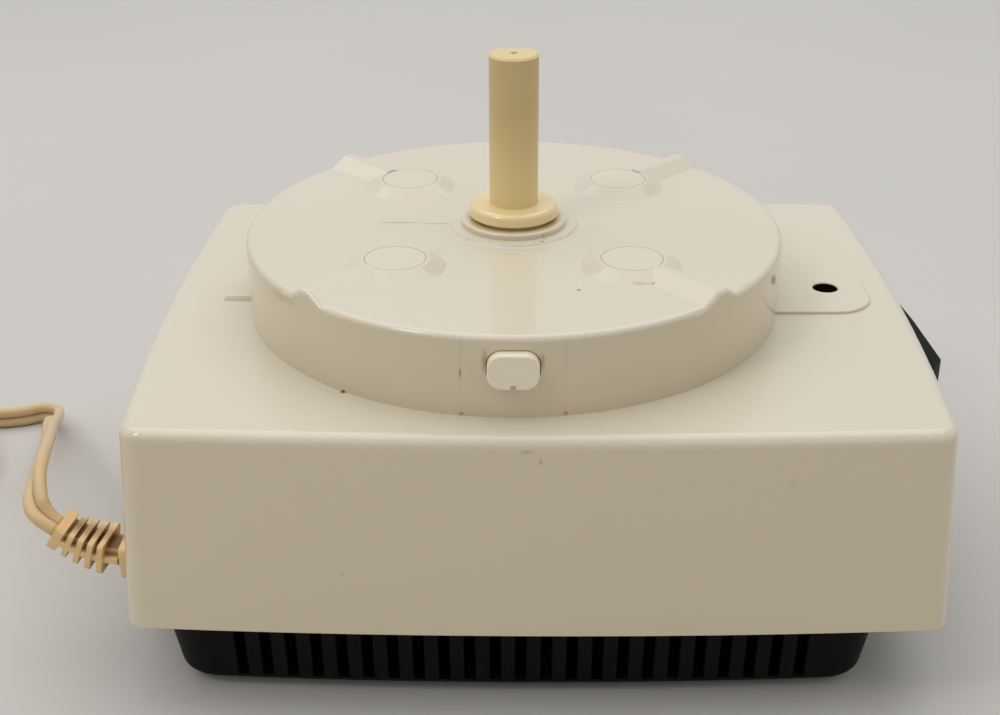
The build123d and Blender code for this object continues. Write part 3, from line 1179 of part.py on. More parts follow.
with BuildPart() as plug_blades:
    with BuildSketch(PLUG_FACE.offset(PLUG_BODY[0])):
        with GridLocations(BLADE_SPACING, 1, 2, 1):
            Rectangle(BLADE_SIZE[1], BLADE_SIZE[2])
    extrude(amount=BLADE_SIZE[0])
plug_blades.part.label = "plug_blades"
export_step(plug_blades.part, "parts/plug_blades.step")
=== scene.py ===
# %% [markdown]
# # Motor base of a food processor
#
# The solids come from CAD and never move. This script gives them their finish, adds the pieces that
# are too soft or too small for CAD, and sets up a camera, lamps and a floor. Everything is in metres,
# with +Z up, the floor at Z = 0 and -Y towards the user.

from math import cos, pi, radians, sin

import bmesh
import bpy
from mathutils import Matrix, Vector


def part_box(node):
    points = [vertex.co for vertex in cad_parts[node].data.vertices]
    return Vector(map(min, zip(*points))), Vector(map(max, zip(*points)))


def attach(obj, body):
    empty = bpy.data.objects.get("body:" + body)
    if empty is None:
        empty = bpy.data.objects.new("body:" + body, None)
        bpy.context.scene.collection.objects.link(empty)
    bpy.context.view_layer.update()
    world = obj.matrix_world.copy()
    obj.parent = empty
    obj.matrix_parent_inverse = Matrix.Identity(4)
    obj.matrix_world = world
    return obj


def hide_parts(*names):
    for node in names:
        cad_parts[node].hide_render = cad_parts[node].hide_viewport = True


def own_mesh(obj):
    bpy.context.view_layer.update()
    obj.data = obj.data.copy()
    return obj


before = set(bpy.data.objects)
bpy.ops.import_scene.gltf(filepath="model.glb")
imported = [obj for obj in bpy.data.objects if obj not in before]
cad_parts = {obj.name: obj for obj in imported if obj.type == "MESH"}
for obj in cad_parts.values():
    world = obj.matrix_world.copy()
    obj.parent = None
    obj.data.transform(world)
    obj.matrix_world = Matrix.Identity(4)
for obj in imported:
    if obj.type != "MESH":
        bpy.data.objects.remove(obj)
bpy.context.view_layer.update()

# %% [markdown]
# Places are read from the solids, so the script follows the CAD when a size changes. The motor shaft's
# box gives the drive axis. The housing's box gives the level of the seat, once the ridges that stand on
# it are taken off.

# %% Places read from the solids
RIDGE_RISE = 0.0031
SEAT_RISE = 0.0256
SEAT_RADIUS = 0.0882
PLUG_CIRCLE = 0.052

low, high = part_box("motor_shaft")
AXIS = (low + high) / 2
SEAT_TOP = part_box("top_housing")[1].z - RIDGE_RISE
BODY_TOP = SEAT_TOP - SEAT_RISE
print("seat top", round(SEAT_TOP, 4), "body top", round(BODY_TOP, 4))

# %% [markdown]
# ## Node helpers
#
# The world, the finishes and the Geometry Nodes trees are all built from nodes. Every input of a node is
# either a plain value or a link from another node's output. One helper does both, so that the cells
# below can say what they mean in one line for each node.

# %% Node helpers
def feed(tree, socket, value):
    """Gives a socket a value, or links it to an output."""
    if isinstance(value, bpy.types.NodeSocket):
        tree.links.new(value, socket)
    else:
        socket.default_value = value


def add_node(tree, kind, settings=None, **inputs):
    """A node with its settings, and with its inputs by name, where _ stands for a space."""
    node = tree.nodes.new(kind)
    for setting, value in (settings or {}).items():
        setattr(node, setting, value)
    for label, value in inputs.items():
        feed(tree, node.inputs[label.replace("_", " ")], value)
    return node


def maths(tree, operation, *values, clamp=False):
    """The number that a Math node makes of its values."""
    node = add_node(tree, "ShaderNodeMath", {"operation": operation, "use_clamp": clamp})
    for socket, value in zip(node.inputs, values):
        feed(tree, socket, value)
    return node.outputs["Value"]


def vector_maths(tree, operation, *values):
    """What a Vector Math node makes of its vectors."""
    node = add_node(tree, "ShaderNodeVectorMath", {"operation": operation})
    for socket, value in zip(node.inputs, values):
        feed(tree, socket, value)
    return node.outputs["Value" if operation in ("LENGTH", "DOT_PRODUCT") else "Vector"]


def parts_of(tree, vector):
    """The X, Y and Z of a vector."""
    node = add_node(tree, "ShaderNodeSeparateXYZ", Vector=vector)
    return [node.outputs[name] for name in "XYZ"]


# %% [markdown]
# ## Camera
#
# The camera stands in front of the object and well above it, so that the top and the front wall both
# show. The lens is a normal one. The aim is a point inside the body, and the tracking quaternion turns
# the camera's -Z axis to it.

# %% Camera
CAMERA_PLACE = Vector((-0.00851, -0.46332, 0.30209))
CAMERA_AIM = Vector((-0.01341, 0.0043, 0.07069))
CAMERA_ROLL = radians(-0.181)
LENS = 54.01

camera_data = bpy.data.cameras.new("camera")
camera_data.lens = LENS
camera_data.sensor_width = 36.0
camera_data.clip_start = 0.01
camera = bpy.data.objects.new("camera", camera_data)
bpy.context.scene.collection.objects.link(camera)
camera.location = CAMERA_PLACE
aim = (CAMERA_AIM - CAMERA_PLACE).to_track_quat("-Z", "Y")
camera.rotation_euler = (aim.to_matrix() @ Matrix.Rotation(CAMERA_ROLL, 3, "Z")).to_euler()
bpy.context.scene.camera = camera
print("camera to aim", round((CAMERA_AIM - CAMERA_PLACE).length, 3))

# %% [markdown]
# ## Lamps
#
# Glossy plastic shows what stands round it, so the lamps are areas and not points. A large lamp high
# behind gives the sheen on the top and the soft shadow in front. A weak warm one fills the front wall. A
# small one at the upper left puts a glint on rounded edges.

# %% Lamps
def soft_lamp(name, place, aim_at, size, power, colour):
    """An area lamp that points at a place."""
    data = bpy.data.lights.new(name, "AREA")
    data.shape = "RECTANGLE"
    data.size, data.size_y = size
    data.energy = power
    data.color = colour
    lamp = bpy.data.objects.new(name, data)
    bpy.context.scene.collection.objects.link(lamp)
    lamp.location = place
    lamp.rotation_euler = (Vector(aim_at) - Vector(place)).to_track_quat("-Z", "Y").to_euler()
    print(name, power, "W")


soft_lamp(
    "top_lamp", place=(-0.15, 0.45, 1.70), aim_at=(0, 0, 0.08), size=(2.6, 2.0), power=17.0,
    colour=(1, 0.99, 0.97),
)
soft_lamp(
    "front_lamp", place=(0.5, -1.1, 0.75), aim_at=(0, 0, 0.07), size=(0.9, 0.7), power=0.5,
    colour=(1, 0.92, 0.80),
)
soft_lamp(
    "left_lamp", place=(-0.70, -0.55, 1.10), aim_at=(0, 0, 0.07), size=(0.28, 0.28), power=2.0,
    colour=(1, 0.96, 0.90),
)

# %% [markdown]
# ## Room
#
# The world is the room that lights everything else. It is pale high behind, and darker and warmer low in
# front, as a room is behind the person who looks. One dot product says how far a direction points to the
# bright side, and a colour ramp turns that into a colour, so no picture of a room is needed.

# %% Room
ROOM_STRENGTH = 0.70
ROOM_DIM = (0.30, 0.28, 0.235, 1)
ROOM_BRIGHT = (0.86, 0.85, 0.83, 1)
BRIGHT_SIDE = (0, 0.8, 0.6)
BRIGHT_FROM = 0.55

world = bpy.data.worlds.new("pale_room")
bpy.context.scene.world = world
world.use_nodes = True
tree = world.node_tree
direction = add_node(tree, "ShaderNodeTexCoord").outputs["Generated"]
to_bright = vector_maths(tree, "DOT_PRODUCT", direction, BRIGHT_SIDE)
spread = add_node(tree, "ShaderNodeMapRange", Value=to_bright, From_Min=-1.0)
room = add_node(tree, "ShaderNodeValToRGB", Fac=spread.outputs["Result"])
dim_end, bright_end = room.color_ramp.elements
dim_end.color = ROOM_DIM
bright_end.position = BRIGHT_FROM
bright_end.color = ROOM_BRIGHT
background = tree.nodes["Background"]
background.inputs["Strength"].default_value = ROOM_STRENGTH
tree.links.new(room.outputs["Color"], background.inputs["Color"])
bpy.context.scene.view_settings.view_transform = "Standard"
print("room strength", ROOM_STRENGTH)

# %% [markdown]
# ## Floor
#
# The floor is one large pale sheet. It runs on level far past the camera's view, so that its edge shows
# only from near the floor. It lies a hair below the rubber feet, because two faces in one place flicker.

# %% Floor
FLOOR_HALF = 4.0
FLOOR_GAP = 0.0002

corners = [(x * FLOOR_HALF, y * FLOOR_HALF, 0) for x, y in ((-1, -1), (1, -1), (1, 1), (-1, 1))]
floor_mesh = bpy.data.meshes.new("floor")
floor_mesh.from_pydata(corners, [], [(0, 1, 2, 3)])
floor = bpy.data.objects.new("floor", floor_mesh)
bpy.context.scene.collection.objects.link(floor)
floor.location.z = -FLOOR_GAP
print("floor", 2 * FLOOR_HALF, "m wide")

# %% [markdown]
# ## Shader groups
#
# Effects that several finishes share are built once as node groups. `moulded_skin` gives the fine grain
# and the slow drift in tone of a moulding. `soft_spot` is a round mark with a soft edge, which makes
# specks, stains and gate marks. `thin_ring` is a narrow ring round an upright axis, such as the painted
# shade in the joint round a plug. The groups put out only masks and heights, and each finish decides what
# to do with them.

# %% Empty group
def new_group(name, inputs, outputs):
    """An empty shader group with named inputs (name, kind, value) and named outputs (name, kind)."""
    group = bpy.data.node_groups.new(name, "ShaderNodeTree")
    for label, kind, value in inputs:
        socket = group.interface.new_socket(label, in_out="INPUT", socket_type=kind)
        socket.default_value = value
    for label, kind in outputs:
        group.interface.new_socket(label, in_out="OUTPUT", socket_type=kind)
    return group, group.nodes.new("NodeGroupInput"), group.nodes.new("NodeGroupOutput")


# %% Moulded skin
group, source, result = new_group(
    "moulded_skin",
    [
        ("Vector", "NodeSocketVector", (0, 0, 0)),
        ("Grain Scale", "NodeSocketFloat", 1200.0),
        ("Drift Scale", "NodeSocketFloat", 14.0),
    ],
    [("Grain", "NodeSocketFloat"), ("Drift", "NodeSocketFloat")],
)
for label, detail in (("Grain", 2.0), ("Drift", 4.0)):
    noise = add_node(
        group, "ShaderNodeTexNoise", Vector=source.outputs["Vector"],
        Scale=source.outputs[label + " Scale"], Detail=detail,
    )
    group.links.new(noise.outputs["Fac"], result.inputs[label])

# %% Soft spot
group, source, result = new_group(
    "soft_spot",
    [
        ("Vector", "NodeSocketVector", (0, 0, 0)),
        ("Centre", "NodeSocketVector", (0, 0, 0)),
        ("Stretch", "NodeSocketVector", (1, 1, 1)),
        ("Radius", "NodeSocketFloat", 0.001),
        ("Softness", "NodeSocketFloat", 0.5),
    ],
    [("Mask", "NodeSocketFloat")],
)
away = vector_maths(group, "SUBTRACT", source.outputs["Vector"], source.outputs["Centre"])
squeezed = vector_maths(group, "DIVIDE", away, source.outputs["Stretch"])
reach = vector_maths(group, "LENGTH", squeezed)
share = maths(group, "DIVIDE", reach, source.outputs["Radius"])
inner = maths(group, "SUBTRACT", 1.0, share)
mask = maths(group, "DIVIDE", inner, source.outputs["Softness"], clamp=True)
group.links.new(mask, result.inputs["Mask"])

# %% Thin ring
group, source, result = new_group(
    "thin_ring",
    [
        ("Vector", "NodeSocketVector", (0, 0, 0)),
        ("Centre", "NodeSocketVector", (0, 0, 0)),
        ("Radius", "NodeSocketFloat", 0.01),
        ("Width", "NodeSocketFloat", 0.0004),
    ],
    [("Mask", "NodeSocketFloat")],
)
away = vector_maths(group, "SUBTRACT", source.outputs["Vector"], source.outputs["Centre"])
flattened = vector_maths(group, "MULTIPLY", away, (1, 1, 0))
reach = vector_maths(group, "LENGTH", flattened)
off_ring = maths(group, "ABSOLUTE", maths(group, "SUBTRACT", reach, source.outputs["Radius"]))
share = maths(group, "DIVIDE", off_ring, source.outputs["Width"])
mask = maths(group, "SUBTRACT", 1.0, share, clamp=True)
group.links.new(mask, result.inputs["Mask"])
print("shader groups:", [g.name for g in bpy.data.node_groups])

# %% [markdown]
# ## Finish helpers
#
# Every finish starts the same way: a Principled shader, object coordinates, and the moulded skin for
# grain and drift. Roughness drifts a little too, because no moulding is equally glossy all over. A
# finish that needs nothing more is plain. The others go on from the tone that the start gives them.

# %% Pieces of a finish
MIX_COLOUR_A, MIX_COLOUR_B, MIX_RESULT = 6, 7, 2  # a Mix node's colour sockets, by place in the list
BUMP_STRENGTH = 0.6


def place_group(tree, name, vector, **values):
    """One copy of a shader group, with its own values."""
    group = {"node_tree": bpy.data.node_groups[name]}
    return add_node(tree, "ShaderNodeGroup", group, Vector=vector, **values)


def blend_colours(tree, mask, first, second):
    """Mixes two colours by a mask. Each colour is three numbers or an output to read."""
    node = add_node(tree, "ShaderNodeMix", {"data_type": "RGBA"}, Factor=mask)
    for place, colour in ((MIX_COLOUR_A, first), (MIX_COLOUR_B, second)):
        feed(tree, node.inputs[place], (*colour, 1) if isinstance(colour, tuple) else colour)
    return node.outputs[MIX_RESULT]


# %% Start of a finish
def start_finish(
    name, colour, drifted, roughness, roughness_drift=0.08, grain=0.00002, grain_scale=1200.0,
    drift_scale=14.0, metallic=0.0,
):
    """A finish that drifts between two tones. Returns the material, its tree, shader, place and tone."""
    finish = bpy.data.materials.new(name)
    finish.use_nodes = True
    tree = finish.node_tree
    shader = tree.nodes["Principled BSDF"]
    shader.inputs["Metallic"].default_value = metallic
    place = add_node(tree, "ShaderNodeTexCoord").outputs["Object"]
    skin = place_group(tree, "moulded_skin", place, Grain_Scale=grain_scale, Drift_Scale=drift_scale)
    tone = blend_colours(tree, skin.outputs["Drift"], colour, drifted)
    tree.links.new(tone, shader.inputs["Base Color"])
    glossiest = roughness - roughness_drift / 2
    rough = maths(tree, "MULTIPLY_ADD", skin.outputs["Drift"], roughness_drift, glossiest)
    tree.links.new(rough, shader.inputs["Roughness"])
    bump = add_node(
        tree, "ShaderNodeBump", Distance=grain, Strength=BUMP_STRENGTH, Height=skin.outputs["Grain"]
    )
    tree.links.new(bump.outputs["Normal"], shader.inputs["Normal"])
    return finish, tree, shader, place, tone


def plain_finish(*values, specular=0.5, **options):
    """A finish that needs no more than its two tones, its gloss and its grain."""
    finish, _, shader, _, _ = start_finish(*values, **options)
    shader.inputs["Specular IOR Level"].default_value = specular
    return finish


def dress(finish, *nodes):
    """Gives CAD nodes a finish in all their material slots."""
    for node in nodes:
        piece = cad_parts[node]
        if not piece.data.materials:
            piece.data.materials.append(finish)
        for slot in piece.material_slots:
            slot.link = "OBJECT"
            slot.material = finish
    print(finish.name, "on", *nodes)


# %% [markdown]
# ## Ivory housing
#
# The housing is a glossy ivory moulding that has yellowed a little. A thin clear coat over a duller base
# gives the sharp, weak reflection of old moulded plastic. Its marks are few and small, and each is drawn
# as a mask on coordinates measured from the middle of the seat, so that it stays on its feature. Mirrored
# coordinates are the same in all four quarters, so one ring in them paints the shade in all four plug
# joints.

# %% Housing plastic
ivory, tree, shader, place, tone = start_finish(
    "aged_ivory", (0.735, 0.68, 0.57), (0.68, 0.62, 0.495), 0.30, 0.10, drift_scale=9.0
)
shader.inputs["Specular IOR Level"].default_value = 0.3
shader.inputs["Coat Weight"].default_value = 0.8
shader.inputs["Coat Roughness"].default_value = 0.03

# %% Coordinates from the middle of the seat
TOP_EDGE = -0.001

from_axis = vector_maths(tree, "SUBTRACT", place, (AXIS.x, AXIS.y, SEAT_TOP))
mirrored = vector_maths(tree, "ABSOLUTE", from_axis)
_, towards_back, above_seat = parts_of(tree, from_axis)
beside_axis, off_axis, _ = parts_of(tree, mirrored)
on_top = maths(tree, "GREATER_THAN", above_seat, TOP_EDGE)
on_wall = maths(tree, "SUBTRACT", 1.0, on_top)


def all_of(tree, *masks):
    """The product of masks, which is 1 only where all of them are."""
    product = masks[0]
    for mask in masks[1:]:
        product = maths(tree, "MULTIPLY", product, mask)
    return product


def narrow_line(tree, value, at, width):
    """1 where a coordinate is at a place, fading to 0 a width away from it."""
    off_line = maths(tree, "ABSOLUTE", maths(tree, "SUBTRACT", value, at))
    return maths(tree, "SUBTRACT", 1.0, maths(tree, "DIVIDE", off_line, width), clamp=True)


# %% [markdown]
# The upright walls get painted shade: a darker, warmer tone than the top's. The normal's Z part tells
# them apart: it is 1 on a level face and 0 on an upright one, and the rounded edges blend between the
# two.

# %% Painted shade on the walls
WALL_SHADE_TONE = (0.69, 0.595, 0.43)
WALL_SHADE_SHARE = 0.8
STEEP_BELOW = 0.6
STEEP_FADE = 0.4

_, _, facing_up = parts_of(tree, place.node.outputs["Normal"])
upright = maths(tree, "DIVIDE", maths(tree, "SUBTRACT", STEEP_BELOW, facing_up), STEEP_FADE, clamp=True)
# painted shade: the upright walls are darker and warmer than the top
tone = blend_colours(tree, maths(tree, "MULTIPLY", upright, WALL_SHADE_SHARE), tone, WALL_SHADE_TONE)

# %% [markdown]
# Two kinds of faint line come from the mould. Upright ones on the seat's wall show where its insert for
# the button was set in, and short ones on the top run from the spindle towards the plugs, over the ribs
# below. They are drawn in the tone only, because they are too shallow to change the shape.

# %% Mould lines
INSERT_LINE = 0.015
INSERT_LINE_WIDTH = 0.0002
FRONT_OF_SEAT = -0.08
RIB_LINE_WIDTH = 0.0005
RIB_LINE_START = 0.0125
RIB_LINE_END = 0.026
FAINT_SHARE = 0.30

insert_lines = all_of(
    tree,
    narrow_line(tree, beside_axis, INSERT_LINE, INSERT_LINE_WIDTH),
    on_wall,
    maths(tree, "LESS_THAN", towards_back, FRONT_OF_SEAT),
    maths(tree, "GREATER_THAN", above_seat, -SEAT_RISE),
)
rib_lines = all_of(
    tree,
    narrow_line(tree, maths(tree, "SUBTRACT", beside_axis, off_axis), 0.0, RIB_LINE_WIDTH),
    on_top,
    maths(tree, "GREATER_THAN", beside_axis, RIB_LINE_START),
    maths(tree, "LESS_THAN", beside_axis, RIB_LINE_END),
)
either_line = maths(tree, "ADD", insert_lines, rib_lines, clamp=True)
faint = maths(tree, "MULTIPLY", either_line, FAINT_SHARE)
tone = blend_colours(tree, faint, tone, (0.42, 0.34, 0.22))

# %% [markdown]
# Painted shade darkens the narrow joint round each plug, and grease from the shaft has left a brown ring
# round the spindle. The lock hole looks black from its rim down, as nothing below it is lit.

# %% Painted joint shade, stain and lock hole
PLUG_RADIUS = 0.0095
JOINT_SHADE_WIDTH = 0.00035
STAIN_RADIUS = 0.0136
STAIN_WIDTH = 0.0026
HOLE_FROM_AXIS = (0.1065, 0.0037, 0.0)
HOLE_REACH = 0.0046
HOLE_RIM = 0.0004

plug_place = PLUG_CIRCLE / 2 ** 0.5
joint_shade = place_group(
    tree, "thin_ring", mirrored, Centre=(plug_place, plug_place, 0), Radius=PLUG_RADIUS, Width=JOINT_SHADE_WIDTH
).outputs["Mask"]
stain = place_group(
    tree, "thin_ring", from_axis, Radius=STAIN_RADIUS, Width=STAIN_WIDTH
).outputs["Mask"]
over_hole = place_group(
    tree, "thin_ring", from_axis, Centre=HOLE_FROM_AXIS, Radius=0.0, Width=HOLE_REACH
).outputs["Mask"]
in_hole = all_of(
    tree,
    maths(tree, "GREATER_THAN", over_hole, 0.0),
    maths(tree, "LESS_THAN", above_seat, -SEAT_RISE + HOLE_RIM),
)
# painted shade: a dark ring in the gap round each plug
tone = blend_colours(tree, all_of(tree, joint_shade, on_top), tone, (0.16, 0.12, 0.08))
tone = blend_colours(tree, all_of(tree, stain, on_top), tone, (0.64, 0.37, 0.11))
tone = blend_colours(tree, in_hole, tone, (0.010, 0.008, 0.006))

# %% [markdown]
# The housing has a few specks, scuffs and rust stains, and one scratch. Each is one row of numbers, and
# one loop lays them over the tone in turn. A stretch well above 1 makes a scratch of a spot.

# %% Specks and stains
# place from the middle of the seat, stretch, radius, softness, colour
MARKS = (
    ((0.0384, -0.0514, 0.0005), (5.0, 1, 1.5), 0.0008, 0.9, (0.60, 0.47, 0.31)),
    ((0.0422, -0.0512, 0.0005), (1.3, 1, 1.5), 0.0007, 0.7, (0.48, 0.31, 0.15)),
    ((0.0196, -0.0551, 0.0), (1, 1, 1), 0.0009, 0.6, (0.36, 0.20, 0.09)),
    ((0.0100, -0.0150, 0.0015), (1, 1, 2), 0.0008, 0.6, (0.24, 0.14, 0.07)),
    ((0.0093, -0.0178, 0.0004), (1, 1, 2), 0.0007, 0.6, (0.30, 0.18, 0.08)),
    ((-0.0380, 0.0005, 0.0), (17, 1, 1), 0.00050, 0.6, (0.36, 0.30, 0.20)),
    ((-0.0250, -0.0006, 0.0), (17, 1, 1), 0.00045, 0.6, (0.40, 0.32, 0.21)),
    ((0.0038, -0.1010, -0.0296), (1.8, 2, 0.6), 0.0013, 0.9, (0.52, 0.44, 0.31)),
    ((0.0078, -0.1012, -0.0326), (0.6, 2, 1.6), 0.0010, 0.9, (0.48, 0.39, 0.27)),
    ((0.0081, -0.088, -0.0078), (1, 3, 3.0), 0.0011, 0.9, (0.46, 0.33, 0.14)),
    ((-0.0081, -0.088, -0.0078), (1, 3, 4.0), 0.0012, 0.9, (0.44, 0.31, 0.13)),
    ((-0.0152, -0.087, -0.0120), (1, 3, 6.0), 0.0004, 0.8, (0.30, 0.18, 0.07)),
    ((0.0152, -0.087, -0.0248), (1, 3, 1.0), 0.0009, 0.8, (0.50, 0.26, 0.08)),
    ((-0.0150, -0.087, -0.0250), (1.5, 3, 1.0), 0.0007, 0.8, (0.40, 0.26, 0.12)),
    ((-0.0507, -0.0724, -0.0256), (1.4, 1.4, 1), 0.0008, 0.6, (0.17, 0.10, 0.06)),
    ((0.0862, 0.0125, -0.0048), (1, 1, 1.4), 0.0010, 0.5, (0.20, 0.15, 0.10)),
    ((0.1210, -0.1040, -0.0549), (1, 2, 1), 0.0009, 0.6, (0.36, 0.24, 0.15)),
    ((0.0797, -0.1018, -0.0403), (1, 2, 2.6), 0.0013, 1.0, (0.50, 0.51, 0.53)),
    ((0.0430, -0.0250, 0.0), (1, 1, 1), 0.0006, 0.7, (0.52, 0.42, 0.28)),
    ((-0.0660, -0.1010, -0.0330), (1, 2, 1), 0.0006, 0.7, (0.46, 0.36, 0.24)),
    ((-0.0500, -0.1030, -0.0700), (1, 2, 1), 0.0005, 0.7, (0.46, 0.36, 0.24)),
)
for centre, stretch, radius, softness, colour in MARKS:
    mark = place_group(
        tree, "soft_spot", from_axis, Centre=centre, Stretch=stretch, Radius=radius, Softness=softness
    )
    tone = blend_colours(tree, mark.outputs["Mask"], tone, colour)
tree.links.new(tone, shader.inputs["Base Color"])
dress(ivory, "top_housing")
dress(plain_finish("plug_ivory", (0.73, 0.68, 0.57), (0.68, 0.63, 0.51), 0.34, 0.08), "screw_plugs")
print("marks:", len(MARKS))

# %% [markdown]
# ## Black plastics
#
# The pan is matt black with a fine spark texture, so its grain is coarse and it reflects little. The
# rocker and the switch are smoother and take a soft highlight. The feet are dull grey-black rubber.
# Black plastic is never quite black, so each tone has a little light left in it.

# %% Black finishes
pan_black = plain_finish(
    "pan_black", (0.003, 0.003, 0.003), (0.006, 0.006, 0.006), 0.55, 0.12, 0.00006, 1500.0, 30.0,
    specular=0.10,
)
dress(pan_black, "base_pan")
rocker_black = plain_finish(
    "rocker_black", (0.005, 0.005, 0.005), (0.008, 0.008, 0.008), 0.45, 0.08, 0.00002, 900.0, 40.0,
    specular=0.07,
)
dress(rocker_black, "switch_rocker", "switch_housing", "microswitch", "interlock_plunger")
foot_rubber = plain_finish(
    "foot_rubber", (0.016, 0.016, 0.016), (0.030, 0.029, 0.027), 0.75, 0.1, 0.00008, 2000.0, 60.0
)
dress(foot_rubber, "rubber_feet", "shaft_seal")

# %% [markdown]
# ## Spindle sleeve
#
# The sleeve is natural nylon that has yellowed. Its flange is polished and paler, the long D section is
# duller and darker, paler again towards its foot, and the tip has a small brown gate mark in its middle.
# The zones go by height, so one coordinate drives all their masks.

# %% Zones of the sleeve
FLANGE_TOP = SEAT_TOP + 0.0078
FLANGE_EDGE = 0.0004
TIP_EDGE = 0.0008
PALER_BELOW = FLANGE_TOP + 0.032
PALER_FADE = 0.026
PALER_SHARE = 0.7
SLEEVE_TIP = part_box("spindle_sleeve")[1][2]

nylon, tree, shader, place, tone = start_finish(
    "yellowed_nylon", (0.64, 0.50, 0.245), (0.57, 0.43, 0.19), 0.42, 0.12, 0.00003, 800.0, 60.0
)
_, _, height = parts_of(tree, place)
is_flange = maths(tree, "LESS_THAN", height, FLANGE_TOP + FLANGE_EDGE)
is_tip = maths(tree, "GREATER_THAN", height, SLEEVE_TIP - TIP_EDGE)
paler_foot = maths(tree, "DIVIDE", maths(tree, "SUBTRACT", PALER_BELOW, height), PALER_FADE, clamp=True)
tone = blend_colours(tree, maths(tree, "MULTIPLY", paler_foot, PALER_SHARE), tone, (0.88, 0.70, 0.36))
tone = blend_colours(tree, is_flange, tone, (0.85, 0.69, 0.36))
tone = blend_colours(tree, is_tip, tone, (0.74, 0.60, 0.31))

# %% Gate mark and polish
GATE_RADIUS = 0.0016
DULL = 0.42
POLISH = 0.16
POLISH_COAT = 0.9

gate = place_group(
    tree, "soft_spot", place, Centre=(AXIS.x, AXIS.y, SLEEVE_TIP), Radius=GATE_RADIUS, Softness=0.7
)
tone = blend_colours(tree, gate.outputs["Mask"], tone, (0.33, 0.14, 0.06))
tree.links.new(tone, shader.inputs["Base Color"])
shader.inputs["Coat Roughness"].default_value = 0.05
tree.links.new(maths(tree, "MULTIPLY", is_flange, POLISH_COAT), shader.inputs["Coat Weight"])
sheen = maths(tree, "SUBTRACT", DULL, maths(tree, "MULTIPLY", is_flange, POLISH))
tree.links.new(sheen, shader.inputs["Roughness"])
dress(nylon, "spindle_sleeve")

# %% [markdown]
# ## Button
#
# The latch button is the housing's plastic, moulded apart. It is paler, because it comes from another
# batch, and duller from handling.

# %% Button finish
button_cream = plain_finish("button_cream", (0.92, 0.84, 0.69), (0.85, 0.77, 0.61), 0.42, 0.1)
dress(button_cream, "latch_button")

# %% [markdown]
# ## Strain relief
#
# The strain relief is a soft tan sleeve with slots between its fins, and the deep part of the slots gets
# painted shade. Its middle line is an arc, so the finish measures how far a point lies from that arc:
# first from the arc's centre, then from its core. What is near the core and past the plain head gets the
# painted shade.

# %% Arc of the strain relief
RELIEF_START = Vector((-0.1297, -0.0717, 0.0411))
RELIEF_BEND = 0.036
RELIEF_YAW = radians(172)
RELIEF_TURN = radians(30)

tan_vinyl, tree, shader, place, tone = start_finish(
    "tan_vinyl", (0.84, 0.60, 0.31), (0.76, 0.52, 0.25), 0.45, 0.14, 0.00005, 900.0, 160.0
)
centred = add_node(tree, "ShaderNodeMapping", {"vector_type": "TEXTURE"}, Vector=place)
centred.inputs["Location"].default_value = RELIEF_START + Vector((0, 0, RELIEF_BEND))
centred.inputs["Rotation"].default_value = (0, 0, RELIEF_YAW)
run, across, rise = parts_of(tree, centred.outputs["Vector"])


def hypotenuse(tree, one, other):
    """The distance that two sides at a right angle span."""
    squared = maths(tree, "MULTIPLY_ADD", one, one, maths(tree, "MULTIPLY", other, other))
    return maths(tree, "SQRT", squared)


# %% Painted shade in the slots
SLOT_SHADE_REACH = 0.0068
SLOT_SHADE_FADE = 0.0030
SLOT_SHADE_SHARE = 0.92

off_bend = maths(tree, "SUBTRACT", hypotenuse(tree, run, rise), RELIEF_BEND)
off_core = hypotenuse(tree, off_bend, across)
turned = maths(tree, "ARCTAN2", run, maths(tree, "MULTIPLY", rise, -1.0))
deep = maths(tree, "DIVIDE", maths(tree, "SUBTRACT", SLOT_SHADE_REACH, off_core), SLOT_SHADE_FADE, clamp=True)
in_slots = maths(tree, "MULTIPLY", deep, maths(tree, "LESS_THAN", turned, RELIEF_TURN))
slot_shade = maths(tree, "MULTIPLY", in_slots, SLOT_SHADE_SHARE)
# painted shade: dark brown deep in the slots between the fins
tone = blend_colours(tree, slot_shade, tone, (0.17, 0.07, 0.02))
tree.links.new(tone, shader.inputs["Base Color"])
dress(tan_vinyl, "strain_relief")

# %% [markdown]
# ## Metals and hidden parts
#
# The parts inside are steel, die-cast alloy, bronze, brass, copper wire and grey nylon. The metals differ
# only in tone and gloss, so a table holds them, and one loop makes and places them all.

# %% Metals
# two tones, roughness, the nodes that have it
METALS = {
    "ground_steel": (
        (0.55, 0.56, 0.58), (0.46, 0.47, 0.49), 0.28,
        ("motor_shaft", "latch_spring", "interlock_spring"),
    ),
    "zinc_plate": (
        (0.62, 0.62, 0.58), (0.52, 0.52, 0.50), 0.34,
        ("base_screws", "motor_screws", "through_bolts", "capacitor_strap", "strap_screws"),
    ),
    "stacked_steel": (
        (0.26, 0.26, 0.27), (0.17, 0.17, 0.18), 0.48,
        ("stator_core", "rotor_core"),
    ),
    "cast_alloy": (
        (0.60, 0.61, 0.63), (0.50, 0.51, 0.52), 0.50,
        ("upper_bracket", "lower_bracket"),
    ),
    "sintered_bronze": (
        (0.50, 0.33, 0.15), (0.40, 0.25, 0.11), 0.40,
        ("upper_bearing", "lower_bearing"),
    ),
    "pressed_brass": (
        (0.78, 0.60, 0.27), (0.66, 0.48, 0.20), 0.26,
        ("switch_terminals", "microswitch_lever", "plug_blades"),
    ),
}
METAL_GRAIN = 2500.0
for name, (colour, drifted, roughness, nodes) in METALS.items():
    metal = plain_finish(name, colour, drifted, roughness, grain_scale=METAL_GRAIN, metallic=1.0)
    dress(metal, *nodes)

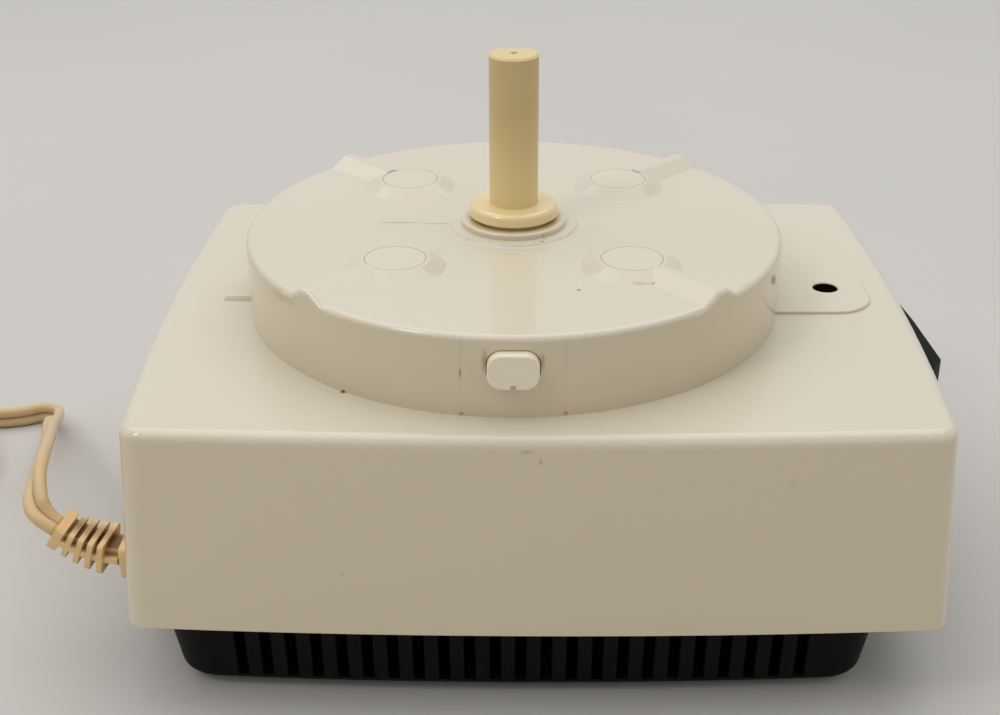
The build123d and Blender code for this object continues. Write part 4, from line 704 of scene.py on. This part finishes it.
# %% Wire, nylon and floor
varnished_copper = plain_finish(
    "varnished_copper", (0.42, 0.15, 0.05), (0.28, 0.09, 0.03), 0.30, 0.1, 0.0002, 500.0, 80.0
)
dress(varnished_copper, "stator_windings")
grey_nylon = plain_finish("grey_nylon", (0.33, 0.32, 0.29), (0.27, 0.26, 0.24), 0.5)
dress(grey_nylon, "cooling_fan", "latch_guide", "interlock_guide", "run_capacitor")
dress(plain_finish("pale_lead", (0.60, 0.60, 0.58), (0.52, 0.52, 0.50), 0.45), "mains_leads")
floor_white = plain_finish(
    "floor_white", (0.62, 0.61, 0.59), (0.57, 0.56, 0.545), 0.85, 0.05, drift_scale=3.0
)
floor.data.materials.append(floor_white)

# %% [markdown]
# ## Rocker face
#
# The rocker's raised end tapers evenly towards its pressed end, so that only a slim wedge stands out of
# the wall. The piece starts as a copy of the solid, keeps its pivot boss and pins, and lowers the face
# between them. A CAD mesh is loose triangles, so the copy is merged first. Dissolving its flat triangles
# then leaves clean edges, which a Bevel modifier can round.

# %% From a solid to a finished piece
MERGE_REACH = 1e-5
ROUND_OVER = radians(35)
SHARP_OVER = radians(30)


def clean_copy(node, flat_angle=radians(1)):
    """A bmesh of a CAD node with its points merged and its flat faces whole."""
    shape = bmesh.new()
    shape.from_mesh(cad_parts[node].data)
    bmesh.ops.remove_doubles(shape, verts=shape.verts, dist=MERGE_REACH)
    bmesh.ops.dissolve_limit(shape, angle_limit=flat_angle, verts=shape.verts, edges=shape.edges)
    return shape


def bake_modifiers(piece):
    """Turns what the modifiers make into the object's own mesh, and removes them."""
    evaluated = piece.evaluated_get(bpy.context.evaluated_depsgraph_get())
    settled = bpy.data.meshes.new_from_object(evaluated)
    piece.modifiers.clear()
    piece.data = settled


def finished_piece(name, shape, finish, bevel=0.0, segments=3):
    """An object at the origin from a bmesh, with its edges rounded and its finish on."""
    mesh = bpy.data.meshes.new(name)
    shape.to_mesh(mesh)
    shape.free()
    piece = bpy.data.objects.new(name, mesh)
    bpy.context.scene.collection.objects.link(piece)
    if bevel:
        rounding = piece.modifiers.new("rounding", "BEVEL")
        rounding.width = bevel
        rounding.segments = segments
        rounding.limit_method = "ANGLE"
        rounding.angle_limit = ROUND_OVER
        bake_modifiers(piece)
    for face in piece.data.polygons:
        face.use_smooth = True
    piece.data.set_sharp_from_angle(angle=SHARP_OVER)
    piece.data.materials.clear()
    piece.data.materials.append(finish)
    print(name, "faces:", len(piece.data.polygons))
    return piece


# %% [markdown]
# A short table gives how much lower the face lies at a few places along the rocker, and the places
# between them are blended evenly. Only points that stand out of the wall's face move.

# %% Rocker
ROCKER_PROUD = 0.0059
ROCKER_END = 0.0372
ROCKER_TIP = 0.0297
ROCKER_EDGE = 0.0006
# place along the rocker, from its raised end, and how much lower the face lies there
FACE_DROP = (
    (-ROCKER_END, 0.0014),
    (-ROCKER_TIP, 0.0),
    (0.0, 0.0018),
    (ROCKER_TIP, 0.0018),
    (ROCKER_END, 0.0009),
)
wall_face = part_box("switch_rocker")[1][0] - ROCKER_PROUD


def drop_at(along):
    """How much lower the face lies at a place along the rocker."""
    for (near, first), (far, second) in zip(FACE_DROP, FACE_DROP[1:]):
        if along < far:
            return first + (second - first) * max((along - near) / (far - near), 0.0)
    return FACE_DROP[-1][1]


rocker_shape = clean_copy("switch_rocker")
for vertex in rocker_shape.verts:
    if vertex.co.x > wall_face:
        vertex.co.x -= drop_at(vertex.co.y)
rocker_face = finished_piece("rocker_face", rocker_shape, rocker_black, bevel=ROCKER_EDGE)
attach(rocker_face, "rocker")
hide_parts("switch_rocker")

# %% [markdown]
# ## Locating nub
#
# A small block stands beside the bowl seat, on the side away from the lock pad. On the real moulding its
# sides slope and its edges are round, so they catch the light. This piece is a sloped shell over the
# solid's plain block: a cube whose corners are pulled to their places, rounded by a Bevel modifier.

# %% Nub
NUB_REACH = 0.0085
NUB_WIDTH = 0.0107
NUB_RISE = 0.0015
NUB_COVER = 0.0002
NUB_SLOPE = 0.0016
NUB_ROUND = 0.0005
NUB_SINK = 0.0010


def nub_corner(corner):
    """Place of a corner of a cube of size 1, pulled to the sloped block."""
    grow = NUB_COVER if corner.z > 0 else NUB_COVER + NUB_SLOPE
    x = AXIS.x - SEAT_RADIUS + (NUB_SINK if corner.x > 0 else -NUB_REACH - grow)
    y = AXIS.y + (NUB_WIDTH / 2 + grow) * (1 if corner.y > 0 else -1)
    z = BODY_TOP + (NUB_RISE + NUB_COVER if corner.z > 0 else -NUB_SINK)
    return x, y, z


nub_shape = bmesh.new()
bmesh.ops.create_cube(nub_shape, size=1.0)
for vertex in nub_shape.verts:
    vertex.co = nub_corner(vertex.co)
nub = finished_piece("locating_nub", nub_shape, ivory, bevel=NUB_ROUND, segments=4)
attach(nub, "base")

# %% [markdown]
# ## Springs
#
# The latch button and the lock plunger each press a coil spring. A spring doesn't follow the moving part
# as a whole: one end stays put and the rest closes up. Each piece here is a plain copy of the solid
# spring, set on the base in place of the solid.

# %% Springs
WIRE_ANGLE = radians(0.1)
ground_steel = bpy.data.materials["ground_steel"]


def shortening_spring(name, node):
    """A copy of a spring, merged, smoothed and set on the base in place of the solid."""
    spring = finished_piece(name, clean_copy(node, WIRE_ANGLE), ground_steel)
    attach(spring, "base")
    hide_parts(node)
    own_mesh(spring)


shortening_spring(
    "latch_coil", "latch_spring"
)
shortening_spring(
    "interlock_coil", "interlock_spring"
)

# %% [markdown]
# ## Geometry Nodes helpers
#
# What repeats or follows a line is made by a Geometry Nodes tree: it is built once, takes its sizes as
# named inputs, and can be run again with other sizes. A tree works on an object's mesh, so an empty mesh
# or an open line holds it. It ends in real geometry, because an export drops instances, and the result
# is kept as a plain mesh without the modifier.

# %% Geometry tree helpers
def new_tree(name, inputs):
    """An empty Geometry Nodes tree with named inputs (name, kind, value) and one geometry output."""
    tree = bpy.data.node_groups.new(name, "GeometryNodeTree")
    tree.interface.new_socket("Geometry", in_out="INPUT", socket_type="NodeSocketGeometry")
    for label, kind, value in inputs:
        socket = tree.interface.new_socket(label, in_out="INPUT", socket_type=kind)
        socket.default_value = value
    tree.interface.new_socket("Geometry", in_out="OUTPUT", socket_type="NodeSocketGeometry")
    return tree, tree.nodes.new("NodeGroupInput"), tree.nodes.new("NodeGroupOutput")


def end_tree(tree, result, geometry, finish):
    """Real geometry with smooth faces and one finish."""
    solid = add_node(tree, "GeometryNodeRealizeInstances", Geometry=geometry)
    smooth = add_node(tree, "GeometryNodeSetShadeSmooth", Geometry=solid.outputs[0])
    dressed = add_node(
        tree, "GeometryNodeSetMaterial", Geometry=smooth.outputs[0], Material=finish
    )
    tree.links.new(dressed.outputs[0], result.inputs[0])


def holder(name, points=()):
    """An object whose mesh is an open line through points, for a tree to work on."""
    mesh = bpy.data.meshes.new(name)
    steps = [(i, i + 1) for i in range(len(points) - 1)]
    mesh.from_pydata([tuple(point) for point in points], steps, [])
    piece = bpy.data.objects.new(name, mesh)
    bpy.context.scene.collection.objects.link(piece)
    return piece


def grow_piece(piece, tree, **values):
    """Runs a tree on an object, with its inputs set by identifier, and keeps the plain mesh."""
    modifier = piece.modifiers.new("grow", "NODES")
    modifier.node_group = tree
    for item in tree.interface.items_tree:
        label = item.name.replace(" ", "_")
        if item.in_out == "INPUT" and label in values:
            modifier[item.identifier] = values[label]
    bake_modifiers(piece)
    print(piece.name, "faces:", len(piece.data.polygons))
    return piece


# %% [markdown]
# ## Winding ties
#
# The end rings of a stator winding are laced with waxed cord at even steps, so that the wires can't
# move. One tie is a thin loop that stands across the ring. Instance on Points sets it round the drive
# axis as often as wanted, and Align Rotation to Vector turns each copy to face the axis.

# %% Tree of ties round an axis
TIE_CORNER = 0.0014

ties_tree, source, result = new_tree(
    "ties_round_axis",
    [
        ("Centre", "NodeSocketVector", (0, 0, 0)),
        ("Count", "NodeSocketInt", 12),
        ("Ring Radius", "NodeSocketFloat", 0.04),
        ("Loop Width", "NodeSocketFloat", 0.012),
        ("Loop Height", "NodeSocketFloat", 0.01),
        ("Cord Radius", "NodeSocketFloat", 0.0006),
    ],
)
size = source.outputs
loop = add_node(
    ties_tree, "GeometryNodeCurvePrimitiveQuadrilateral",
    Width=size["Loop Width"], Height=size["Loop Height"],
)
rounded = add_node(
    ties_tree, "GeometryNodeFilletCurve", {"mode": "POLY"},
    Curve=loop.outputs[0], Radius=TIE_CORNER, Count=3,
)
round_cord = add_node(
    ties_tree, "GeometryNodeCurvePrimitiveCircle", Resolution=8, Radius=size["Cord Radius"]
)
tie = add_node(
    ties_tree, "GeometryNodeCurveToMesh",
    Curve=rounded.outputs[0], Profile_Curve=round_cord.outputs[0],
)
standing = add_node(
    ties_tree, "GeometryNodeTransform", Geometry=tie.outputs[0], Rotation=(pi / 2, 0, 0)
)
ring = add_node(
    ties_tree, "GeometryNodeMeshCircle", Vertices=size["Count"], Radius=size["Ring Radius"]
)
spot = add_node(ties_tree, "GeometryNodeInputPosition")
facing = add_node(
    ties_tree, "FunctionNodeAlignRotationToVector", {"axis": "X", "pivot_axis": "Z"},
    Vector=spot.outputs[0],
)
ties = add_node(
    ties_tree, "GeometryNodeInstanceOnPoints",
    Points=ring.outputs[0], Instance=standing.outputs[0], Rotation=facing.outputs[0],
)
placed = add_node(
    ties_tree, "GeometryNodeTransform", Geometry=ties.outputs[0], Translation=size["Centre"]
)
waxed_cord = plain_finish(
    "waxed_cord", (0.66, 0.60, 0.46), (0.52, 0.45, 0.32), 0.55, 0.1, 0.00005, 2500.0, 90.0
)
end_tree(ties_tree, result, placed.outputs[0], waxed_cord)

# %% Ties on both ends
COIL_OVERHANG = 0.012
WINDING_WIDTH = 0.012
TIE_COUNT = 12
TIE_RADIUS = 0.0005

low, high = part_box("stator_windings")
winding_radius = (high.x - low.x) / 2 - WINDING_WIDTH / 2
tie_levels = {
    "upper_winding_ties": high.z - COIL_OVERHANG / 2,
    "lower_winding_ties": low.z + COIL_OVERHANG / 2,
}
for name, level in tie_levels.items():
    winding_ties = grow_piece(
        holder(name), ties_tree,
        Centre=(AXIS.x, AXIS.y, level), Count=TIE_COUNT, Ring_Radius=winding_radius,
        Loop_Width=WINDING_WIDTH + TIE_RADIUS, Loop_Height=COIL_OVERHANG, Cord_Radius=TIE_RADIUS,
    )
    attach(winding_ties, "base")

# %% [markdown]
# ## Mains cord
#
# The cord is flat twin flex: two round cores side by side with a groove between them. Its route is
# listed: out of the strain relief, round a tight bend towards the back, down to the floor and round a
# fold to the left. The rest is put away as a neat coil of two layers. The route is a NURBS curve, and the
# flex is a mesh that follows it, because a round bevel can't give the two lobes.

# %% Route
CORD_WIDTH = 0.0084
FLOOR_LEVEL = CORD_WIDTH / 2
ROUTE = [
    (-0.15043, -0.06879, 0.04774),
    (-0.15497, -0.06815, 0.05060),
    (-0.1586, -0.0643, 0.0545),
    (-0.1604, -0.0519, 0.0576),
    (-0.1647, -0.0315, 0.0533),
    (-0.1753, 0.0030, 0.0375),
    (-0.1848, 0.0360, 0.0260),
    (-0.1913, 0.0580, 0.0165),
    (-0.1958, 0.0735, 0.0090),
    (-0.1983, 0.0835, 0.0050),
    (-0.2048, 0.0875, FLOOR_LEVEL),
    (-0.2118, 0.0832, FLOOR_LEVEL),
    (-0.2236, 0.0810, FLOOR_LEVEL),
    (-0.2353, 0.0810, FLOOR_LEVEL),
]

# %% [markdown]
# The coil starts and ends on one tangent. Half of its turns lie on the floor and wind inwards, and half
# lie on top of them and wind outwards again, so that both ends come out at the same side. The control
# points stand a little outside the wanted circle, because the curve cuts inside its corners.

# %% Coil
COIL_RADIUS = 0.0502
COIL_TURNS = 3
POINTS_PER_TURN = 16
CLIMB_TURNS = 0.3
COIL_LEAD = 0.031
PLUG_LEAD = 0.042
PLUG_HALF_HEIGHT = 0.0075
PLUG_APPROACH = (0.35, 0.7)

coil_start = Vector(ROUTE[-1]) + Vector((-COIL_LEAD, 0, 0))
coil_centre = coil_start - Vector((0, COIL_RADIUS, 0))
pull_out = 1 / cos(pi / POINTS_PER_TURN)
coil_points = []
for step in range(COIL_TURNS * POINTS_PER_TURN + 1):
    turns = step / POINTS_PER_TURN
    radius = (COIL_RADIUS - CORD_WIDTH * min(turns, COIL_TURNS - turns)) * pull_out
    climb = min(max((turns - COIL_TURNS / 2 + CLIMB_TURNS / 2) / CLIMB_TURNS, 0.0), 1.0)
    angle = pi / 2 + 2 * pi * turns
    x = coil_centre.x + radius * cos(angle)
    y = coil_centre.y + radius * sin(angle)
    coil_points.append((x, y, FLOOR_LEVEL + CORD_WIDTH * climb))
plug_back = Vector((coil_start.x - PLUG_LEAD, coil_start.y, PLUG_HALF_HEIGHT))
ending = [tuple(Vector(coil_points[-1]).lerp(plug_back, share)) for share in PLUG_APPROACH]
line_points = ROUTE + coil_points + ending + [tuple(plug_back)]
print("control points:", len(line_points))

# %% [markdown]
# The curve is turned into points once, and every piece that follows the cord reads those. The spline's
# order is set after its points, because it is held down while there are too few of them.

# %% Smooth centre line
line_data = bpy.data.curves.new("cord_line", "CURVE")
line_data.dimensions = "3D"
spline = line_data.splines.new("NURBS")
spline.points.add(len(line_points) - 1)
for point, place in zip(spline.points, line_points):
    point.co = (*place, 1)
spline.order_u = 3
spline.use_endpoint_u = True
spline.resolution_u = 8
line_object = bpy.data.objects.new("cord_line", line_data)
line_mesh = bpy.data.meshes.new_from_object(line_object)
centre_line = [vertex.co.copy() for vertex in line_mesh.vertices]
bpy.data.objects.remove(line_object)

# %% [markdown]
# The profile is walked round both lobes. Each ring of the mesh stands across the line, and its wide
# direction turns with the distance walked: level in the strain relief, nearly on edge in the rise behind
# it, level again above the fold, and on edge along the floor.

# %% Profile and twist
LOBE = CORD_WIDTH / 4
LOBE_STEPS = 9
LOBE_SWEEP = radians(316)
# distance walked and degrees that the wide direction has turned there
TWIST = ((0.0, 0), (0.028, -62), (0.095, -60), (0.150, -20), (0.185, -90))

profile = []
for side in (1, -1):
    for step in range(LOBE_STEPS):
        angle = (step / (LOBE_STEPS - 1) - 0.5) * LOBE_SWEEP
        profile.append((side * (LOBE + LOBE * cos(angle)), side * LOBE * sin(angle)))


def twist_at(distance):
    """Angle of the wide direction, eased between the places in the list."""
    for (near, first), (far, second) in zip(TWIST, TWIST[1:]):
        if distance < far:
            share = (distance - near) / (far - near)
            return radians(first + (second - first) * share * share * (3 - 2 * share))
    return radians(TWIST[-1][1])


# %% Rings along the line
flex_mesh = bmesh.new()
rings = []
distances = []
for index, centre in enumerate(centre_line):
    before = centre_line[max(index - 1, 0)]
    after = centre_line[min(index + 1, len(centre_line) - 1)]
    distances.append((distances[-1] if distances else 0.0) + (centre - before).length)
    along = (after - before).normalized()
    level = Vector((0, 0, 1)).cross(along).normalized()
    upright = along.cross(level)
    twist = twist_at(distances[-1])
    wide = level * cos(twist) + upright * sin(twist)
    thin = along.cross(wide)
    rings.append([flex_mesh.verts.new(centre + wide * across + thin * out) for across, out in profile])
print("rings:", len(rings))

# %% [markdown]
# Faces join each ring to the next. A UV map runs round the profile and along the line, so that the
# finish can follow the flex wherever it bends. Two caps close the ends.

# %% Faces between the rings
flex_uv = flex_mesh.loops.layers.uv.new("flex")
for index, (first, second) in enumerate(zip(rings, rings[1:])):
    for corner in range(len(profile)):
        following = (corner + 1) % len(profile)
        quad = (first[corner], first[following], second[following], second[corner])
        face = flex_mesh.faces.new(quad)
        face.smooth = True
        for loop, across, walked in zip(face.loops, (0, 1, 1, 0), (0, 0, 1, 1)):
            loop[flex_uv].uv = ((corner + across) / len(profile), distances[index + walked])
flex_mesh.faces.new(rings[0][::-1])
flex_mesh.faces.new(rings[-1])
bmesh.ops.recalc_face_normals(flex_mesh, faces=flex_mesh.faces)
cord_mesh = bpy.data.meshes.new("mains_flex")
flex_mesh.to_mesh(cord_mesh)
flex_mesh.free()
flex = bpy.data.objects.new("mains_flex", cord_mesh)
bpy.context.scene.collection.objects.link(flex)
print("flex faces:", len(cord_mesh.polygons))

# %% [markdown]
# The vinyl is cream and a little glossy. The groove between the lobes gets painted shade, so it is
# darker: a mask on the UV map finds the two places where the profile passes from one lobe to the other.
# The plug is the same vinyl without the groove.

# %% Flex finish
GROOVE_EDGE = 0.40
GROOVE_FADE = 0.05
GROOVE_SHADE_SHARE = 0.75

cream_vinyl, tree, shader, _, tone = start_finish(
    "cream_vinyl", (0.68, 0.51, 0.28), (0.62, 0.44, 0.22), 0.34, 0.1, 0.00003, 700.0, 30.0
)
flex_map = add_node(tree, "ShaderNodeUVMap", {"uv_map": "flex"})
walked_round, _, _ = parts_of(tree, flex_map.outputs["UV"])
half_way = maths(tree, "FRACT", maths(tree, "MULTIPLY", walked_round, 2.0))
lobe_middle = (LOBE_STEPS - 1) / 2 / LOBE_STEPS
off_middle = maths(tree, "ABSOLUTE", maths(tree, "SUBTRACT", half_way, lobe_middle))
past_edge = maths(tree, "SUBTRACT", off_middle, GROOVE_EDGE)
in_groove = maths(tree, "DIVIDE", past_edge, GROOVE_FADE, clamp=True)
groove_shade = maths(tree, "MULTIPLY", in_groove, GROOVE_SHADE_SHARE)
# painted shade: the groove between the lobes is darker
tone = blend_colours(tree, groove_shade, tone, (0.28, 0.16, 0.06))
tree.links.new(tone, shader.inputs["Base Color"])
flex.data.materials.append(cream_vinyl)
plug_vinyl = plain_finish(
    "plug_vinyl", (0.68, 0.51, 0.28), (0.62, 0.44, 0.22), 0.36, 0.1, 0.00003, 700.0, 30.0
)
dress(plug_vinyl, "plug_body")

# %% [markdown]
# ## Plug neck
#
# Where the flex enters the plug, the vinyl runs on as a short neck with ribs that let it bend. The neck
# and its ribs follow the last stretch of the centre line, so Geometry Nodes make both: a tapered tube
# along the line, and rounded rings at even steps that shrink away from the plug.

# %% Tube of the neck
neck_tree, source, result = new_tree(
    "ribbed_neck",
    [
        ("Ribs", "NodeSocketInt", 6),
        ("Neck Radius", "NodeSocketFloat", 0.0055),
        ("Rib Height", "NodeSocketFloat", 0.0012),
        ("Rib Thickness", "NodeSocketFloat", 0.0007),
        ("Far Share", "NodeSocketFloat", 0.75),
    ],
)
size = source.outputs
line = add_node(neck_tree, "GeometryNodeMeshToCurve", Mesh=size["Geometry"])
along = add_node(neck_tree, "GeometryNodeSplineParameter")
shrink = add_node(
    neck_tree, "ShaderNodeMapRange", {"clamp": True},
    Value=along.outputs["Factor"], To_Min=size["Far Share"], To_Max=1.0,
)
tapered = add_node(
    neck_tree, "GeometryNodeSetCurveRadius", Curve=line.outputs[0], Radius=shrink.outputs[0]
)
section = add_node(
    neck_tree, "GeometryNodeCurvePrimitiveCircle", Resolution=24, Radius=size["Neck Radius"]
)
tube = add_node(
    neck_tree, "GeometryNodeCurveToMesh",
    Curve=tapered.outputs[0], Profile_Curve=section.outputs[0], Fill_Caps=True,
)

# %% Ribs of the neck
rib_reach = maths(neck_tree, "ADD", size["Neck Radius"], size["Rib Height"])
rib_line = add_node(
    neck_tree, "GeometryNodeCurvePrimitiveCircle", Resolution=32, Radius=rib_reach
)
rib_section = add_node(
    neck_tree, "GeometryNodeCurvePrimitiveCircle", Resolution=10, Radius=size["Rib Thickness"]
)
rib = add_node(
    neck_tree, "GeometryNodeCurveToMesh",
    Curve=rib_line.outputs[0], Profile_Curve=rib_section.outputs[0],
)
stations = add_node(
    neck_tree, "GeometryNodeCurveToPoints", {"mode": "COUNT"},
    Curve=line.outputs[0], Count=size["Ribs"],
)
number = add_node(neck_tree, "GeometryNodeInputIndex")
last = maths(neck_tree, "SUBTRACT", size["Ribs"], 1.0)
rib_share = add_node(
    neck_tree, "ShaderNodeMapRange", {"clamp": True},
    Value=number.outputs[0], From_Max=last, To_Min=size["Far Share"], To_Max=1.0,
)
share = rib_share.outputs[0]
rib_scale = add_node(neck_tree, "ShaderNodeCombineXYZ", X=share, Y=share, Z=1.0)
ribs = add_node(
    neck_tree, "GeometryNodeInstanceOnPoints",
    Points=stations.outputs["Points"], Instance=rib.outputs[0],
    Rotation=stations.outputs["Rotation"], Scale=rib_scale.outputs[0],
)
joined = add_node(neck_tree, "GeometryNodeJoinGeometry")
for part in (ribs, tube):
    neck_tree.links.new(part.outputs[0], joined.inputs[0])
end_tree(neck_tree, result, joined.outputs[0], plug_vinyl)

# %% Neck of the plug
NECK_LENGTH = 0.019

neck_start = distances[-1] - NECK_LENGTH
neck_points = [point for point, walked in zip(centre_line, distances) if walked > neck_start]
plug_neck = grow_piece(
    holder("plug_neck", neck_points), neck_tree, Ribs=6, Neck_Radius=0.0056, Far_Share=0.78
)
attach(plug_neck, "base")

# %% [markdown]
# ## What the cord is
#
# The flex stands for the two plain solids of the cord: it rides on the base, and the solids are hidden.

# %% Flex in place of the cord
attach(flex, "base")
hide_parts("cord", "cord_coil")
